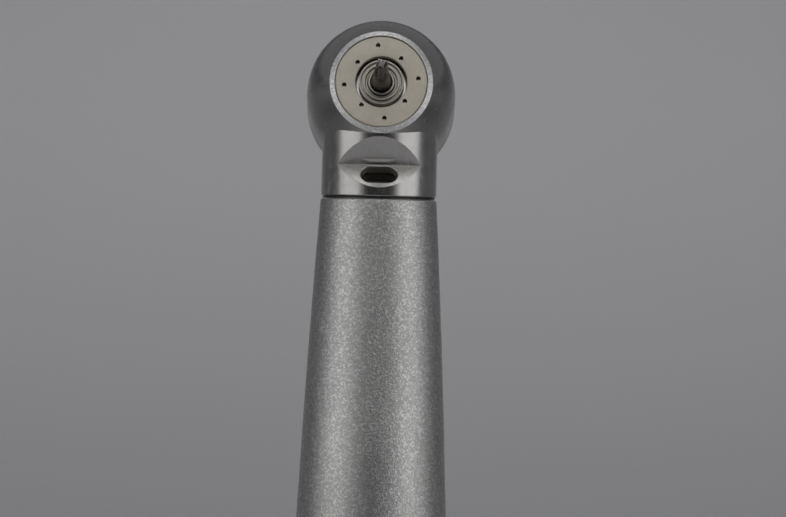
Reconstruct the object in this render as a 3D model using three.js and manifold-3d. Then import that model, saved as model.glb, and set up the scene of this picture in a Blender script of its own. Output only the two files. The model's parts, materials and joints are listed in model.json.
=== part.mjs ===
// High speed dental handpiece: a turbine head on a kneed grip, with a push-button chuck,
// a bur, a light guide that looks out of a notch in the neck, and a four-hole hose end.
//
// Units are millimetres. The origin is the centre of the face that the hose seats on, and
// +Z runs up the grip. The knee leans the neck towards +Y, and the bur points to -Y.
import * as THREE from "three";
import { mergeVertices } from "three/addons/utils/BufferGeometryUtils.js";
import Module from "manifold-3d";

const wasm = await Module();
wasm.setup();
const { degToRad, lerp, smoothstep, clamp } = THREE.MathUtils;

// ---------------------------------------------------------------- driving dimensions
// Distances "a" run along the bur axis from the neck axis, and grow towards the bur's tip.
// The neck's own heights run along its axis from the bur axis. Both rise from the hose end.
const KNEE = degToRad(20); // the neck's lean from the grip
const HEAD_LEAN = degToRad(10); // the bur axis, from square to the neck
const GRIP_LENGTH = 68; // straight grip, from the hose face to the knee
const KNEE_RADIUS = 60;
const FRONT_LENGTH = 27.5; // straight front, from the knee to the bur axis
const SPINE_LENGTH = GRIP_LENGTH + KNEE_RADIUS * KNEE + FRONT_LENGTH;

// Head
const HEAD_R = 5.98;
const FACE_A = 4.2; // face rim
const FACE_EDGE_R = 4.13; // where the rim's chamfer meets the dome
const DOME_START_A = -1.93;
const DOME_DEPTH = 8.17;
const DRUM_BACK_A = -6.05; // parting line between the drum and the back cap
const CHAMBER = { r: 4.95, front: 0.2, back: -2.75 };
const SEAT = { r: 3.76, front: 2.95 }; // bearing seat, with its O-ring
const CAP_THREAD_R = 5.25;
const FACE_WALL_BACK = SEAT.front;
const FACE_WALL_FRONT = 3.35;
const NOSE_BORE_R = 2.1;

// Spray plate
const PLATE_R = 3.68;
const PLATE_BORE_R = 2.05;
const PLATE_BACK_A = 3.42;
const PLATE_FACE_A = 4.12;
const SPRAY_HOLE_R = 0.17;
const SPRAY_CIRCLES = [2.97, 2.46]; // the holes stand on two circles in turn
const SPRAY_TURN = degToRad(6.2);

// Neck, notch and window
const NECK_R = 4.62;
const NECK_END = 8.41; // shoulder
const NECK_BORE_R = 3.0;
const NECK_BORE_TOP = 6.6;
const SPIGOT_R = 3.85;
const SPIGOT_END = 16;
const NOTCH_CREASE = new THREE.Vector2(-3.16, -5.92); // y and height of the notch's deepest line
const NOTCH_UPPER_FLANK = new THREE.Vector2(-1.46, 2.27).normalize();
const NOTCH_LOWER_FLANK = new THREE.Vector2(-1.46, -1.78).normalize();
const WINDOW_HALF = [1.48, 0.83];
const WINDOW_DROP = 1.0; // window centre, down the lower flank from the crease
const GLASS_DEPTH = 0.85; // the glass stands back in the window

// Sleeve
const SLEEVE_FRONT = 8.6; // below the bur axis
const SLEEVE_REAR = 9.0; // above the hose face
const SLEEVE_WALL = 1.1;
const SLEEVE_PROFILE = [
  [SLEEVE_FRONT, 4.64],
  [13.85, 4.98],
  [24.1, 5.55],
  [33.1, 5.97],
  [52, 6.9],
  [74, 7.5],
  [92, 7.3],
  [SPINE_LENGTH - SLEEVE_REAR, 6.75],
]; // distance from the bur axis, and outer radius

// Turbine
const BALL_R = 0.5;
const BALLS = 7;
const BALL_CIRCLE_R = 2.4;
const GROOVE_R = 0.55;
const RACE_OUTER_R = 3.175;
const RACE_BORE_R = 1.59;
const BEARING_WIDTH = 2.4;
const FRONT_BEARING_A = 1.45;
const REAR_BEARING_A = -4.1;
const O_RING = { r: 3.47, wire: 0.25 };
const SHAFT_R = 1.55;
const SHAFT_BORE_R = 1.12;
const SHAFT_BACK_A = -5.75;
const CHUCK_BORE_R = 0.835;
const BLADES = 9;
const BLADE_TIP_R = 4.6;
const BUR_SHANK_R = 0.8;
const BUR_BACK_A = -4.8;
const BUR_TIP_A = 11.2;

// Push button
const BUTTON_R = 3.25;
const BUTTON_TOP_A = -9.1;
const CAP_SEAT_BACK_A = -7.78;

// Hose end
const THREAD_R = 5.45;
const BLOCK_R = 5.0;
const BLOCK_TOP = 13;
const PIPES = {
  exhaust: { at: [0, -2.55], r: 1.55 },
  drive: { at: [0, 2.75], r: 1.2, neckAt: [0, 1.5], neckR: 1.2 },
  water: { at: [-2.9, 0.3], r: 0.78, neckAt: [-2.1, -0.1], neckR: 0.5 },
  chip: { at: [2.9, 0.3], r: 0.78, neckAt: [2.1, -0.1], neckR: 0.5 },
};
const CONTACT = { at: [3.15, -2.2], r: 0.4, tip: -5.5, back: 10 };
const HOLE_PLAY = 0.06;

// Light
const LAMP_AT = [0, -1.6];
const ROD_HALF = [1.4, 0.75];
const ROD_REAR_R = 1.2;
const ROD_NECK_Y = -1.9;

// ---------------------------------------------------------------- closed shapes
// Every shape below is a closed surface that faces out, with shared corners.
function closed(geometry) {
  const bare = geometry.index ? geometry.toNonIndexed() : geometry.clone();
  bare.deleteAttribute("normal");
  bare.deleteAttribute("uv");
  const merged = mergeVertices(bare, 1e-4);
  const corners = [];
  for (let i = 0; i < merged.index.count; i += 3) {
    const [a, b, c] = merged.index.array.slice(i, i + 3);
    if (a !== b && b !== c && c !== a) corners.push(a, b, c);
  }
  merged.setIndex(volumeOf(merged, corners) < 0 ? corners.reverse() : corners);
  return merged;
}

function volumeOf(geometry, corners) {
  const at = geometry.getAttribute("position");
  const [a, b, c] = [new THREE.Vector3(), new THREE.Vector3(), new THREE.Vector3()];
  let volume = 0;
  for (let i = 0; i < corners.length; i += 3) {
    a.fromBufferAttribute(at, corners[i]);
    b.fromBufferAttribute(at, corners[i + 1]);
    c.fromBufferAttribute(at, corners[i + 2]);
    volume += a.dot(b.cross(c)) / 6;
  }
  return volume;
}

function toSolid(geometry) {
  return new wasm.Manifold(
    new wasm.Mesh({
      numProp: 3,
      vertProperties: geometry.attributes.position.array,
      triVerts: new Uint32Array(geometry.index.array),
    }),
  );
}

function toGeometry(solid) {
  const made = solid.getMesh();
  const geometry = new THREE.BufferGeometry();
  geometry.setAttribute("position", new THREE.BufferAttribute(made.vertProperties, 3));
  geometry.setIndex(new THREE.BufferAttribute(made.triVerts, 1));
  return geometry;
}

function cut(body, ...tools) {
  return toGeometry(tools.reduce((left, tool) => left.subtract(toSolid(tool)), toSolid(body)));
}

function join(...bodies) {
  return toGeometry(bodies.map(toSolid).reduce((all, body) => all.add(body)));
}

// A profile of [radius, height] points turned about Y. It starts and ends on the axis, or
// it is a loop.
function turned(profile, segments) {
  const points = profile.map(([r, h]) => new THREE.Vector2(r, h));
  const onAxis = points[0].x === 0 && points.at(-1).x === 0;
  if (!onAxis) points.push(points[0].clone());
  return closed(new THREE.LatheGeometry(points, segments));
}

// Turned about the bur axis, from [radius, a] points.
function aboutBur(profile, segments = 24) {
  return turned(profile.map(([r, a]) => [r, -a]), segments);
}

// Turned about Z, from [radius, z] points.
function aboutZ(profile, segments = 24) {
  return turned(profile, segments).rotateX(Math.PI / 2);
}

function ring(rIn, rOut, from, to) {
  return [[rIn, from], [rOut, from], [rOut, to], [rIn, to]];
}

function rod(r, from, to) {
  return [[0, from], [r, from], [r, to], [0, to]];
}

function post(r, from, to, [x, y], sides) {
  return aboutZ(rod(r, from, to), sides).translate(x, y, 0);
}

function arc([x, y], [rx, ry], start, end, steps) {
  return Array.from({ length: steps + 1 }, (_, i) => {
    const angle = lerp(start, end, i / steps);
    return [x + rx * Math.cos(angle), y + ry * Math.sin(angle)];
  });
}

// Copies of something around Y.
function around(count, make, offset = 0) {
  return Array.from({ length: count }, (_, i) => make(i, offset + (2 * Math.PI * i) / count));
}

// A skin over rings of points. A looped skin joins its last ring to its first, and the
// others are capped at both ends.
function skin(rings, looped = false) {
  const count = rings[0].length;
  const corners = [];
  const spans = looped ? rings.length : rings.length - 1;
  for (let i = 0; i < spans; i++) {
    const here = i * count;
    const next = ((i + 1) % rings.length) * count;
    for (let j = 0; j < count; j++) {
      const k = (j + 1) % count;
      corners.push(here + j, here + k, next + k, here + j, next + k, next + j);
    }
  }
  const last = (rings.length - 1) * count;
  for (let j = 1; j < count - 1 && !looped; j++) {
    corners.push(0, j + 1, j, last, last + j, last + j + 1);
  }
  const geometry = new THREE.BufferGeometry().setFromPoints(rings.flat());
  return closed(geometry.setIndex(corners));
}

// ---------------------------------------------------------------- the spine
// A frame on the handpiece's centre line at a distance u from the hose face: its point and
// its section's own X and Y.
function spineAt(u) {
  const bend = clamp((u - GRIP_LENGTH) / KNEE_RADIUS, 0, KNEE);
  const before = Math.min(u, GRIP_LENGTH);
  const after = Math.max(u - GRIP_LENGTH - KNEE_RADIUS * KNEE, 0);
  const point = new THREE.Vector3(
    0,
    KNEE_RADIUS * (1 - Math.cos(bend)) + after * Math.sin(bend),
    before + KNEE_RADIUS * Math.sin(bend) + after * Math.cos(bend),
  );
  return {
    point,
    x: new THREE.Vector3(1, 0, 0),
    y: new THREE.Vector3(0, Math.cos(bend), -Math.sin(bend)),
  };
}

// A section in a frame, moved off its centre. It is round when its two halves are equal,
// and flat-sided with round ends when the first is the longer.
function section(frame, [halfX, halfY], sides, [dx, dy] = [0, 0]) {
  const straight = halfX - halfY;
  return Array.from({ length: sides }, (_, j) => {
    const angle = (2 * Math.PI * (j + 0.5)) / sides;
    const shift = straight * Math.sign(Math.cos(angle));
    return frame.point
      .clone()
      .addScaledVector(frame.x, dx + shift + halfY * Math.cos(angle))
      .addScaledVector(frame.y, dy + halfY * Math.sin(angle));
  });
}

function eased(from, to, share) {
  return lerp(from, to, smoothstep(share, 0, 1));
}

// A tube that follows the spine, and eases from its hole in the hose end to its hole in the
// neck.
function spineTube({ at, r, neckAt, neckR }, rear, front, wall) {
  const sides = 9;
  const easeFrom = 14;
  const easeTo = 96;
  const stops = [rear, easeFrom, 30, 45, 58, 68, 75, 82, 89, easeTo, front];
  const ringsAt = (shrink) =>
    stops.map((u) => {
      const share = (u - easeFrom) / (easeTo - easeFrom);
      const radius = eased(r, neckR, share) - shrink;
      const off = [0, 1].map((k) => eased(at[k], neckAt[k], share));
      return section(spineAt(u), [radius, radius], sides, off);
    });
  return skin([...ringsAt(0), ...ringsAt(wall).reverse()], true);
}

// ---------------------------------------------------------------- head and neck housing
function drum() {
  const domeEnd = Math.acos(FACE_EDGE_R / HEAD_R);
  return aboutBur(
    [
      [0, DRUM_BACK_A],
      [HEAD_R - 0.12, DRUM_BACK_A],
      [HEAD_R, DRUM_BACK_A + 0.12],
      ...arc([0, DOME_START_A], [HEAD_R, DOME_DEPTH], 0, domeEnd, 5),
      [3.78, FACE_A],
      [0, FACE_A],
    ],
    32,
  );
}

function drumBores() {
  return aboutBur(
    [
      [0, FACE_A + 0.2],
      [PLATE_R + 0.04, FACE_A + 0.2],
      [PLATE_R + 0.04, FACE_WALL_FRONT],
      [NOSE_BORE_R, FACE_WALL_FRONT],
      [NOSE_BORE_R, FACE_WALL_BACK],
      [SEAT.r, SEAT.front],
      [SEAT.r, CHAMBER.front],
      [CHAMBER.r, CHAMBER.front],
      [CHAMBER.r, CHAMBER.back],
      [CAP_THREAD_R, CHAMBER.back],
      [CAP_THREAD_R, DRUM_BACK_A - 0.2],
      [0, DRUM_BACK_A - 0.2],
    ],
    24,
  );
}

// The V-shaped notch across the front of the neck. Its lower flank holds the window.
function notch() {
  const reach = 4.2;
  const wedge = [
    NOTCH_CREASE,
    NOTCH_CREASE.clone().addScaledVector(NOTCH_UPPER_FLANK, reach),
    NOTCH_CREASE.clone().addScaledVector(NOTCH_LOWER_FLANK, reach),
  ];
  return skin([-6, 6].map((x) => wedge.map(({ x: y, y: z }) => new THREE.Vector3(x, y, z))));
}

// Frames along the window's centre line, in the neck's frame: straight in, square to the
// lower flank, and then bent down the neck.
function windowFrames(from) {
  const inward = new THREE.Vector2(-NOTCH_LOWER_FLANK.y, NOTCH_LOWER_FLANK.x);
  const window = NOTCH_CREASE.clone().addScaledVector(NOTCH_LOWER_FLANK, WINDOW_DROP);
  const inside = (depth) => window.clone().addScaledVector(inward, depth);
  const bend = new THREE.CubicBezierCurve(
    inside(GLASS_DEPTH),
    inside(GLASS_DEPTH + 0.8),
    new THREE.Vector2(ROD_NECK_Y, -8.6),
    new THREE.Vector2(ROD_NECK_Y, -10),
  );
  const frame = (at, way) => ({
    point: new THREE.Vector3(0, at.x, at.y),
    x: new THREE.Vector3(1, 0, 0),
    y: new THREE.Vector3(0, -way.y, way.x),
  });
  const lead = from < GLASS_DEPTH ? [frame(inside(from), inward)] : [];
  const steps = [0, 0.25, 0.5, 0.75, 1];
  return [...lead, ...steps.map((share) => frame(bend.getPoint(share), bend.getTangent(share)))];
}

function headHousing() {
  const neck = aboutZ(
    [
      [0, -SPIGOT_END],
      [SPIGOT_R, -SPIGOT_END],
      [SPIGOT_R, -NECK_END],
      [NECK_R, -NECK_END],
      [NECK_R, -2.6],
      [0, -2.6],
    ],
    32,
  );
  const bore = post(NECK_BORE_R, -SPIGOT_END - 1, -NECK_BORE_TOP, [0, 0], 20);
  const airJet = post(0.55, -NECK_BORE_TOP - 0.2, -3.6, [2.2, 0.9], 8);
  const exhaustPort = post(0.8, -NECK_BORE_TOP - 0.2, -3.6, [-1.9, 0.9], 8);
  const window = skin(windowFrames(-0.6).map((frame) => section(frame, WINDOW_HALF, 16)));
  const outside = join(drum().rotateX(-HEAD_LEAN), neck);
  return cut(outside, drumBores().rotateX(-HEAD_LEAN), bore, notch(), window, airJet, exhaustPort);
}

function neckSealRing() {
  return aboutZ(ring(SPIGOT_R + 0.04, NECK_R - 0.12, -SLEEVE_FRONT + 0.03, -NECK_END - 0.03), 28);
}

function sprayPlate() {
  const channel = { in: 2.25, out: 3.18, floor: 3.74 };
  const plate = aboutBur(
    [
      [PLATE_BORE_R, PLATE_BACK_A],
      [channel.in, PLATE_BACK_A],
      [channel.in, channel.floor],
      [channel.out, channel.floor],
      [channel.out, PLATE_BACK_A],
      [PLATE_R, PLATE_BACK_A],
      [PLATE_R, PLATE_FACE_A],
      [PLATE_BORE_R, PLATE_FACE_A],
    ],
    28,
  );
  const hole = aboutBur(rod(SPRAY_HOLE_R, channel.floor - 0.2, FACE_A + 0.1), 6);
  const holes = around(
    8,
    (i, angle) => {
      const circle = SPRAY_CIRCLES[i % 2];
      return hole.clone().translate(circle * Math.cos(angle), 0, circle * Math.sin(angle));
    },
    SPRAY_TURN,
  );
  return cut(plate, ...holes);
}

// ---------------------------------------------------------------- back cap and push button
function backCap() {
  const dome = arc([3.6, DRUM_BACK_A - 0.5], [HEAD_R - 3.6, 2.0], 0, -Math.PI / 2, 4);
  return aboutBur(
    [
      [SEAT.r, CHAMBER.back - 0.1],
      [CAP_THREAD_R - 0.07, CHAMBER.back - 0.1],
      [CAP_THREAD_R - 0.07, DRUM_BACK_A - 0.03],
      [HEAD_R - 0.12, DRUM_BACK_A - 0.03],
      [HEAD_R, DRUM_BACK_A - 0.15],
      ...dome,
      [BUTTON_R + 0.08, DRUM_BACK_A - 2.5],
      [BUTTON_R + 0.08, CAP_SEAT_BACK_A],
      [SEAT.r, CAP_SEAT_BACK_A],
    ],
    28,
  );
}

function capInnerPlate() {
  return aboutBur(ring(1.75, SEAT.r - 0.07, -5.9, -5.45));
}

function pushButton() {
  const flangeR = SEAT.r - 0.08;
  return aboutBur(
    [
      [0, -6.75],
      [0.7, -6.75],
      [0.7, -8.2],
      [2.9, -8.2],
      [2.9, -7.1],
      [flangeR, -7.1],
      [flangeR, CAP_SEAT_BACK_A + 0.08],
      [BUTTON_R, CAP_SEAT_BACK_A + 0.08],
      [BUTTON_R, BUTTON_TOP_A + 0.35],
      [BUTTON_R - 0.25, BUTTON_TOP_A + 0.12],
      [0, BUTTON_TOP_A],
    ],
    28,
  );
}

// A round wire wound about the bur axis.
function buttonSpring() {
  const coil = { r: 2.3, wire: 0.2, front: -6.15, back: -7.95, turns: 2.5 };
  const steps = 30;
  const rings = Array.from({ length: steps + 1 }, (_, i) => {
    const angle = (2 * Math.PI * coil.turns * i) / steps;
    const out = new THREE.Vector3(Math.cos(angle), 0, Math.sin(angle));
    const point = out.clone().multiplyScalar(coil.r);
    point.y = -lerp(coil.front, coil.back, i / steps);
    return section({ point, x: out, y: new THREE.Vector3(0, -1, 0) }, [coil.wire, coil.wire], 6);
  });
  return skin(rings);
}

// ---------------------------------------------------------------- turbine cartridge
const GROOVE_OPENING = Math.acos(0.3 / GROOVE_R); // half the groove's arc

function outerRace(middle) {
  const half = BEARING_WIDTH / 2;
  const centre = [BALL_CIRCLE_R, middle];
  const groove = arc(centre, [GROOVE_R, GROOVE_R], GROOVE_OPENING, -GROOVE_OPENING, 4);
  return aboutBur([
    [2.7, middle - half],
    [RACE_OUTER_R, middle - half],
    [RACE_OUTER_R, middle + half],
    [2.7, middle + half],
    ...groove,
  ]);
}

function innerRace(middle) {
  const half = BEARING_WIDTH / 2;
  const centre = [BALL_CIRCLE_R, middle];
  const open = GROOVE_OPENING;
  const groove = arc(centre, [GROOVE_R, GROOVE_R], Math.PI - open, Math.PI + open, 4);
  return aboutBur([
    [RACE_BORE_R, middle + half],
    [2.1, middle + half],
    ...groove,
    [2.1, middle - half],
    [RACE_BORE_R, middle - half],
  ]);
}

function cage(middle) {
  const band = aboutBur(ring(2.16, 2.64, middle - 0.75, middle + 0.75), 21);
  const pocket = aboutZ(rod(BALL_R + 0.08, 1.8, 3.0), 8).rotateY(Math.PI / 2);
  const pockets = around(BALLS, (_, angle) => pocket.clone().rotateY(-angle).translate(0, -middle, 0));
  return cut(band, ...pockets);
}

function oRing(middle) {
  const sides = 7;
  const turn = (2 * Math.PI * (sides - 1)) / sides;
  return aboutBur(arc([O_RING.r, middle], [O_RING.wire, O_RING.wire], 0, turn, sides - 1));
}

// A thin spring washer with three waves, which loads the bearings.
function preloadWasher() {
  const washer = { middle: 2.8, thick: 0.06, wave: 0.05, in: 2.5, out: 3.3 };
  const rings = around(36, (_, angle) => {
    const lift = washer.middle + washer.wave * Math.cos(3 * angle);
    const corner = (r, t) =>
      new THREE.Vector3(r * Math.cos(angle), -(lift + t * washer.thick), r * Math.sin(angle));
    return [
      corner(washer.in, -0.5),
      corner(washer.out, -0.5),
      corner(washer.out, 0.5),
      corner(washer.in, 0.5),
    ];
  });
  return skin(rings, true);
}

function spindle() {
  const grooveFloor = 3.6;
  const noseRings = [
    [1.84, 1.6, 3.88],
    [1.53, 1.31, 3.95],
    [1.25, SHAFT_BORE_R, 3.95],
  ]; // outer radius, inner radius and height of the rings in the nose's face
  const ringCorners = noseRings.flatMap(([outer, inner, top]) => [
    [outer, grooveFloor],
    [outer, top],
    [inner, top],
    [inner, grooveFloor],
  ]);
  return aboutBur([
    [SHAFT_BORE_R, SHAFT_BACK_A],
    [SHAFT_R, SHAFT_BACK_A],
    [SHAFT_R, 2.72],
    [noseRings[0][0], 2.74],
    ...ringCorners,
  ]);
}

function impeller() {
  const hubR = 2.5;
  const hub = aboutBur(ring(RACE_BORE_R, hubR, -2.8, 0.15));
  const web = aboutBur(ring(hubR - 0.1, 3.7, -1.5, -1.2));
  const thickness = 0.34;
  const sweep = 0.42;
  const edge = (side) =>
    [0, 0.33, 0.67, 1].map((share) => {
      const r = lerp(hubR - 0.15, BLADE_TIP_R, share);
      const angle = sweep * share * share + (side * thickness) / (2 * r);
      return new THREE.Vector2(r * Math.cos(angle), r * Math.sin(angle));
    });
  const outline = new THREE.Shape([...edge(-1), ...edge(1).reverse()]);
  const extruded = new THREE.ExtrudeGeometry(outline, { depth: 2.5, bevelEnabled: false });
  const blade = closed(extruded).rotateX(Math.PI / 2).translate(0, 2.6, 0);
  return join(hub, web, ...around(BLADES, (_, angle) => blade.clone().rotateY(angle)));
}

// A sleeve with three slits, open at the back, whose fingers grip the shank.
function chuck() {
  const r = SHAFT_BORE_R - 0.04;
  const sleeve = aboutBur([
    [CHUCK_BORE_R, BUR_BACK_A],
    [r, BUR_BACK_A],
    [r, 3.98],
    [r - 0.06, 4.05],
    [CHUCK_BORE_R + 0.05, 4.05],
    [CHUCK_BORE_R, 4.0],
  ]);
  const slit = closed(new THREE.BoxGeometry(1.2, 7.6, 0.16)).translate(0.9, 1.2, 0);
  return cut(sleeve, ...around(3, (_, angle) => slit.clone().rotateY(angle), Math.PI / 6));
}

// One skin from the back of the shank to the tip. The cutting end has six twisted blades.
function bur() {
  const sides = 24;
  const fluteDepths = [1, 0.93, 0.7, 0.82];
  const twist = 0.16; // radians for each millimetre
  const headStart = 7.5;
  const stations = [
    [BUR_BACK_A, 0.68],
    [BUR_BACK_A + 0.15, BUR_SHANK_R],
    [5.3, BUR_SHANK_R],
    [6.1, 0.5],
    [6.4, 0.42],
    [7.2, 0.42],
    [headStart, 0.55],
    [8.7, 0.56],
    [9.9, 0.56],
    [BUR_TIP_A - 0.08, 0.56],
    [BUR_TIP_A, 0.48],
  ];
  const rings = stations.map(([a, r]) =>
    around(sides, (j, angle) => {
      const turn = angle + Math.max(0, a - headStart) * twist;
      const reach = a < headStart ? r : r * fluteDepths[j % fluteDepths.length];
      return new THREE.Vector3(reach * Math.cos(turn), -a, reach * Math.sin(turn));
    }),
  );
  return skin(rings);
}

// ---------------------------------------------------------------- grip and hose end
function bodySleeve() {
  const curve = new THREE.SplineCurve(SLEEVE_PROFILE.map(([d, r]) => new THREE.Vector2(d, r)));
  const outline = curve.getPoints(12);
  const counterbore = SPIGOT_END + 0.6;
  const ringOf = (d, r) => section(spineAt(SPINE_LENGTH - d), [r, r], 28);
  const outer = outline.map((p) => ringOf(p.x, p.y));
  const inner = outline
    .filter((p) => p.x > counterbore + 1)
    .map((p) => ringOf(p.x, p.y - SLEEVE_WALL));
  const front = [SLEEVE_FRONT, counterbore].map((d) => ringOf(d, SPIGOT_R + 0.1));
  return skin([...outer, ...inner.reverse(), ...front.reverse()], true);
}

function connectorBody() {
  const block = aboutZ(
    [
      [0, 0],
      [THREAD_R - 0.3, 0],
      [THREAD_R, 0.3],
      [THREAD_R, 5.4],
      [BLOCK_R, 5.7],
      [BLOCK_R, BLOCK_TOP],
      [0, BLOCK_TOP],
    ],
    28,
  );
  const bore = (at, r, sides) => post(r + HOLE_PLAY, -1, BLOCK_TOP + 1, at, sides);
  const pipes = Object.values(PIPES).map(({ at, r }) => bore(at, r, 12));
  const [x, y] = CONTACT.at;
  return cut(block, ...pipes, bore([-x, y], CONTACT.r, 8), bore([x, y], CONTACT.r, 8));
}

function rearCollar() {
  return aboutZ(ring(BLOCK_R + 0.05, 6.55, 6.05, SLEEVE_REAR - 0.1), 28);
}

function sleeveORing() {
  return aboutZ(ring(BLOCK_R + 0.04, 5.55, 10.2, 10.8));
}

function exhaustPipe() {
  const { at, r } = PIPES.exhaust;
  return aboutZ(ring(r - 0.3, r, -6.5, BLOCK_TOP + 1), 14).translate(...at, 0);
}

function contactPin(side) {
  return post(CONTACT.r, CONTACT.tip, CONTACT.back, [side * CONTACT.at[0], CONTACT.at[1]], 9);
}

// The plug in the neck that holds the tubes and the light guide, and lets exhaust air back.
function neckManifold() {
  const back = -15;
  const front = -12;
  const bore = (r, at, sides) => post(r, back - 1, front + 1, at, sides);
  const plug = post(NECK_BORE_R - 0.07, back, front, [0, 0], 20);
  const tubes = [PIPES.drive, PIPES.water, PIPES.chip];
  const tubeBores = tubes.map(({ neckAt, neckR }) => bore(neckR + HOLE_PLAY, neckAt, 10));
  const exhaustBores = [-2.0, 2.0].map((x) => bore(0.36, [x, 1.25], 6));
  const frameAt = (z) => ({
    point: new THREE.Vector3(0, ROD_NECK_Y, z),
    x: new THREE.Vector3(1, 0, 0),
    y: new THREE.Vector3(0, 1, 0),
  });
  const guideHalf = ROD_HALF.map((half) => half + HOLE_PLAY);
  const guide = skin([back - 1, front + 1].map((z) => section(frameAt(z), guideHalf, 16)));
  return cut(plug, ...tubeBores, ...exhaustBores, guide);
}

// ---------------------------------------------------------------- light
// The glass rod starts at the window and follows the spine to the lamp.
function lightGuide() {
  const sides = 16;
  const rear = 20.9;
  const neckFrame = new THREE.Matrix4().makeRotationX(-KNEE);
  neckFrame.setPosition(spineAt(SPINE_LENGTH).point);
  const bend = windowFrames(GLASS_DEPTH).map((frame) =>
    section(frame, ROD_HALF, sides).map((point) => point.applyMatrix4(neckFrame)),
  );
  const along = [97, 89, 82, 75, 68, 55, 42, 30, rear].map((u) => {
    const half = ROD_HALF.map((value) => eased(value, ROD_REAR_R, (97 - u) / 40));
    const off = [0, eased(ROD_NECK_Y, LAMP_AT[1], (97 - u) / 65)];
    return section(spineAt(u), half, sides, off);
  });
  return skin([...bend, ...along]);
}

function lamp() {
  const lens = arc([0, 19.2], [1.35, 1.1], 0, Math.PI / 2, 3);
  const profile = [[0, 16], [1.48, 16], [1.48, 17], [1.35, 17.1], ...lens.slice(0, -1), [0, 20.3]];
  return aboutZ(profile, 16).translate(...LAMP_AT, 0);
}

function lampHolder() {
  const rodBore = ROD_REAR_R + 0.07;
  return aboutZ(
    [
      [1.55, 15],
      [2.2, 15],
      [2.2, 24],
      [rodBore, 24],
      [rodBore, 20.6],
      [1.55, 20.6],
    ],
    20,
  ).translate(...LAMP_AT, 0);
}

function lampLead(side) {
  const path = new THREE.CatmullRomCurve3([
    new THREE.Vector3(side * CONTACT.at[0], CONTACT.at[1], CONTACT.back + 0.15),
    new THREE.Vector3(side * 3.1, -2.15, 12.6),
    new THREE.Vector3(side * 1.9, -1.85, 14.3),
    new THREE.Vector3(side * 0.75, LAMP_AT[1], 15.1),
    new THREE.Vector3(side * 0.7, LAMP_AT[1], 15.9),
  ]);
  const steps = 10;
  const rings = path.getPoints(steps).map((point, i) => {
    const way = path.getTangent(i / steps);
    const y = new THREE.Vector3(0, 1, 0).cross(way).normalize();
    return section({ point, x: new THREE.Vector3().crossVectors(way, y), y }, [0.2, 0.2], 6);
  });
  return skin(rings);
}

// ---------------------------------------------------------------- finishes
function finish(color, roughness, metalness = 1) {
  return new THREE.MeshStandardMaterial({ color, roughness, metalness });
}
const polished = finish(0x8f9092, 0.12);
const blasted = finish(0xa6a7a3, 0.42);
const satinNickel = finish(0xa09a88, 0.35);
const steel = finish(0x8d8b86, 0.25);
const ballSteel = finish(0xb9bcc0, 0.08);
const springSteel = finish(0x9a9a98, 0.3);
const aluminium = finish(0xb5b7b9, 0.35);
const carbide = finish(0x5a5855, 0.28);
const brass = finish(0xb79a5a, 0.3);
const rubber = finish(0x161616, 0.75, 0);
const polymer = finish(0x5a3d22, 0.6, 0);
const lampWhite = finish(0xe8e4d4, 0.35, 0);
const glass = finish(0x2a2723, 0.08, 0);

// ---------------------------------------------------------------- assembly
function place(parent, name, geometry, material) {
  geometry.computeVertexNormals();
  const mesh = new THREE.Mesh(geometry, material);
  mesh.name = name;
  parent.add(mesh);
  return mesh;
}

const handpiece = new THREE.Group();

// The neck's frame: its axis is Z, and the bur axis crosses it at the origin.
const neckGroup = new THREE.Group();
neckGroup.position.copy(spineAt(SPINE_LENGTH).point);
neckGroup.rotation.x = -KNEE;
handpiece.add(neckGroup);

// The head's frame: the bur points along -Y.
const headGroup = new THREE.Group();
headGroup.rotation.x = -HEAD_LEAN;
neckGroup.add(headGroup);

place(neckGroup, "head_housing", headHousing(), polished);
place(neckGroup, "neck_manifold", neckManifold(), brass);
place(neckGroup, "neck_seal_ring", neckSealRing(), rubber);

place(headGroup, "spray_plate", sprayPlate(), satinNickel);
place(headGroup, "back_cap", backCap(), polished);
place(headGroup, "cap_inner_plate", capInnerPlate(), steel);
place(headGroup, "push_button", pushButton(), polished);
place(headGroup, "button_spring", buttonSpring(), springSteel);

function placeBearing(side, middle) {
  place(headGroup, `${side}_bearing_outer_race`, outerRace(middle), steel);
  place(headGroup, `${side}_bearing_inner_race`, innerRace(middle), steel);
  place(headGroup, `${side}_bearing_cage`, cage(middle), polymer);
  place(headGroup, `${side}_o_ring`, oRing(middle), rubber);
  around(BALLS, (i, angle) => {
    const shape = closed(new THREE.IcosahedronGeometry(BALL_R, 1));
    const ball = place(headGroup, `${side}_ball_${i + 1}`, shape, ballSteel);
    ball.position.set(BALL_CIRCLE_R * Math.cos(angle), -middle, BALL_CIRCLE_R * Math.sin(angle));
  });
}

placeBearing("front", FRONT_BEARING_A);
placeBearing("rear", REAR_BEARING_A);
place(headGroup, "preload_washer", preloadWasher(), springSteel);
place(headGroup, "spindle", spindle(), steel);
place(headGroup, "impeller", impeller(), aluminium);
place(headGroup, "chuck", chuck(), steel);
place(headGroup, "chuck_plunger", aboutBur(rod(1.0, -6.6, -5.5), 16), steel);
place(headGroup, "bur", bur(), carbide);

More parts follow.
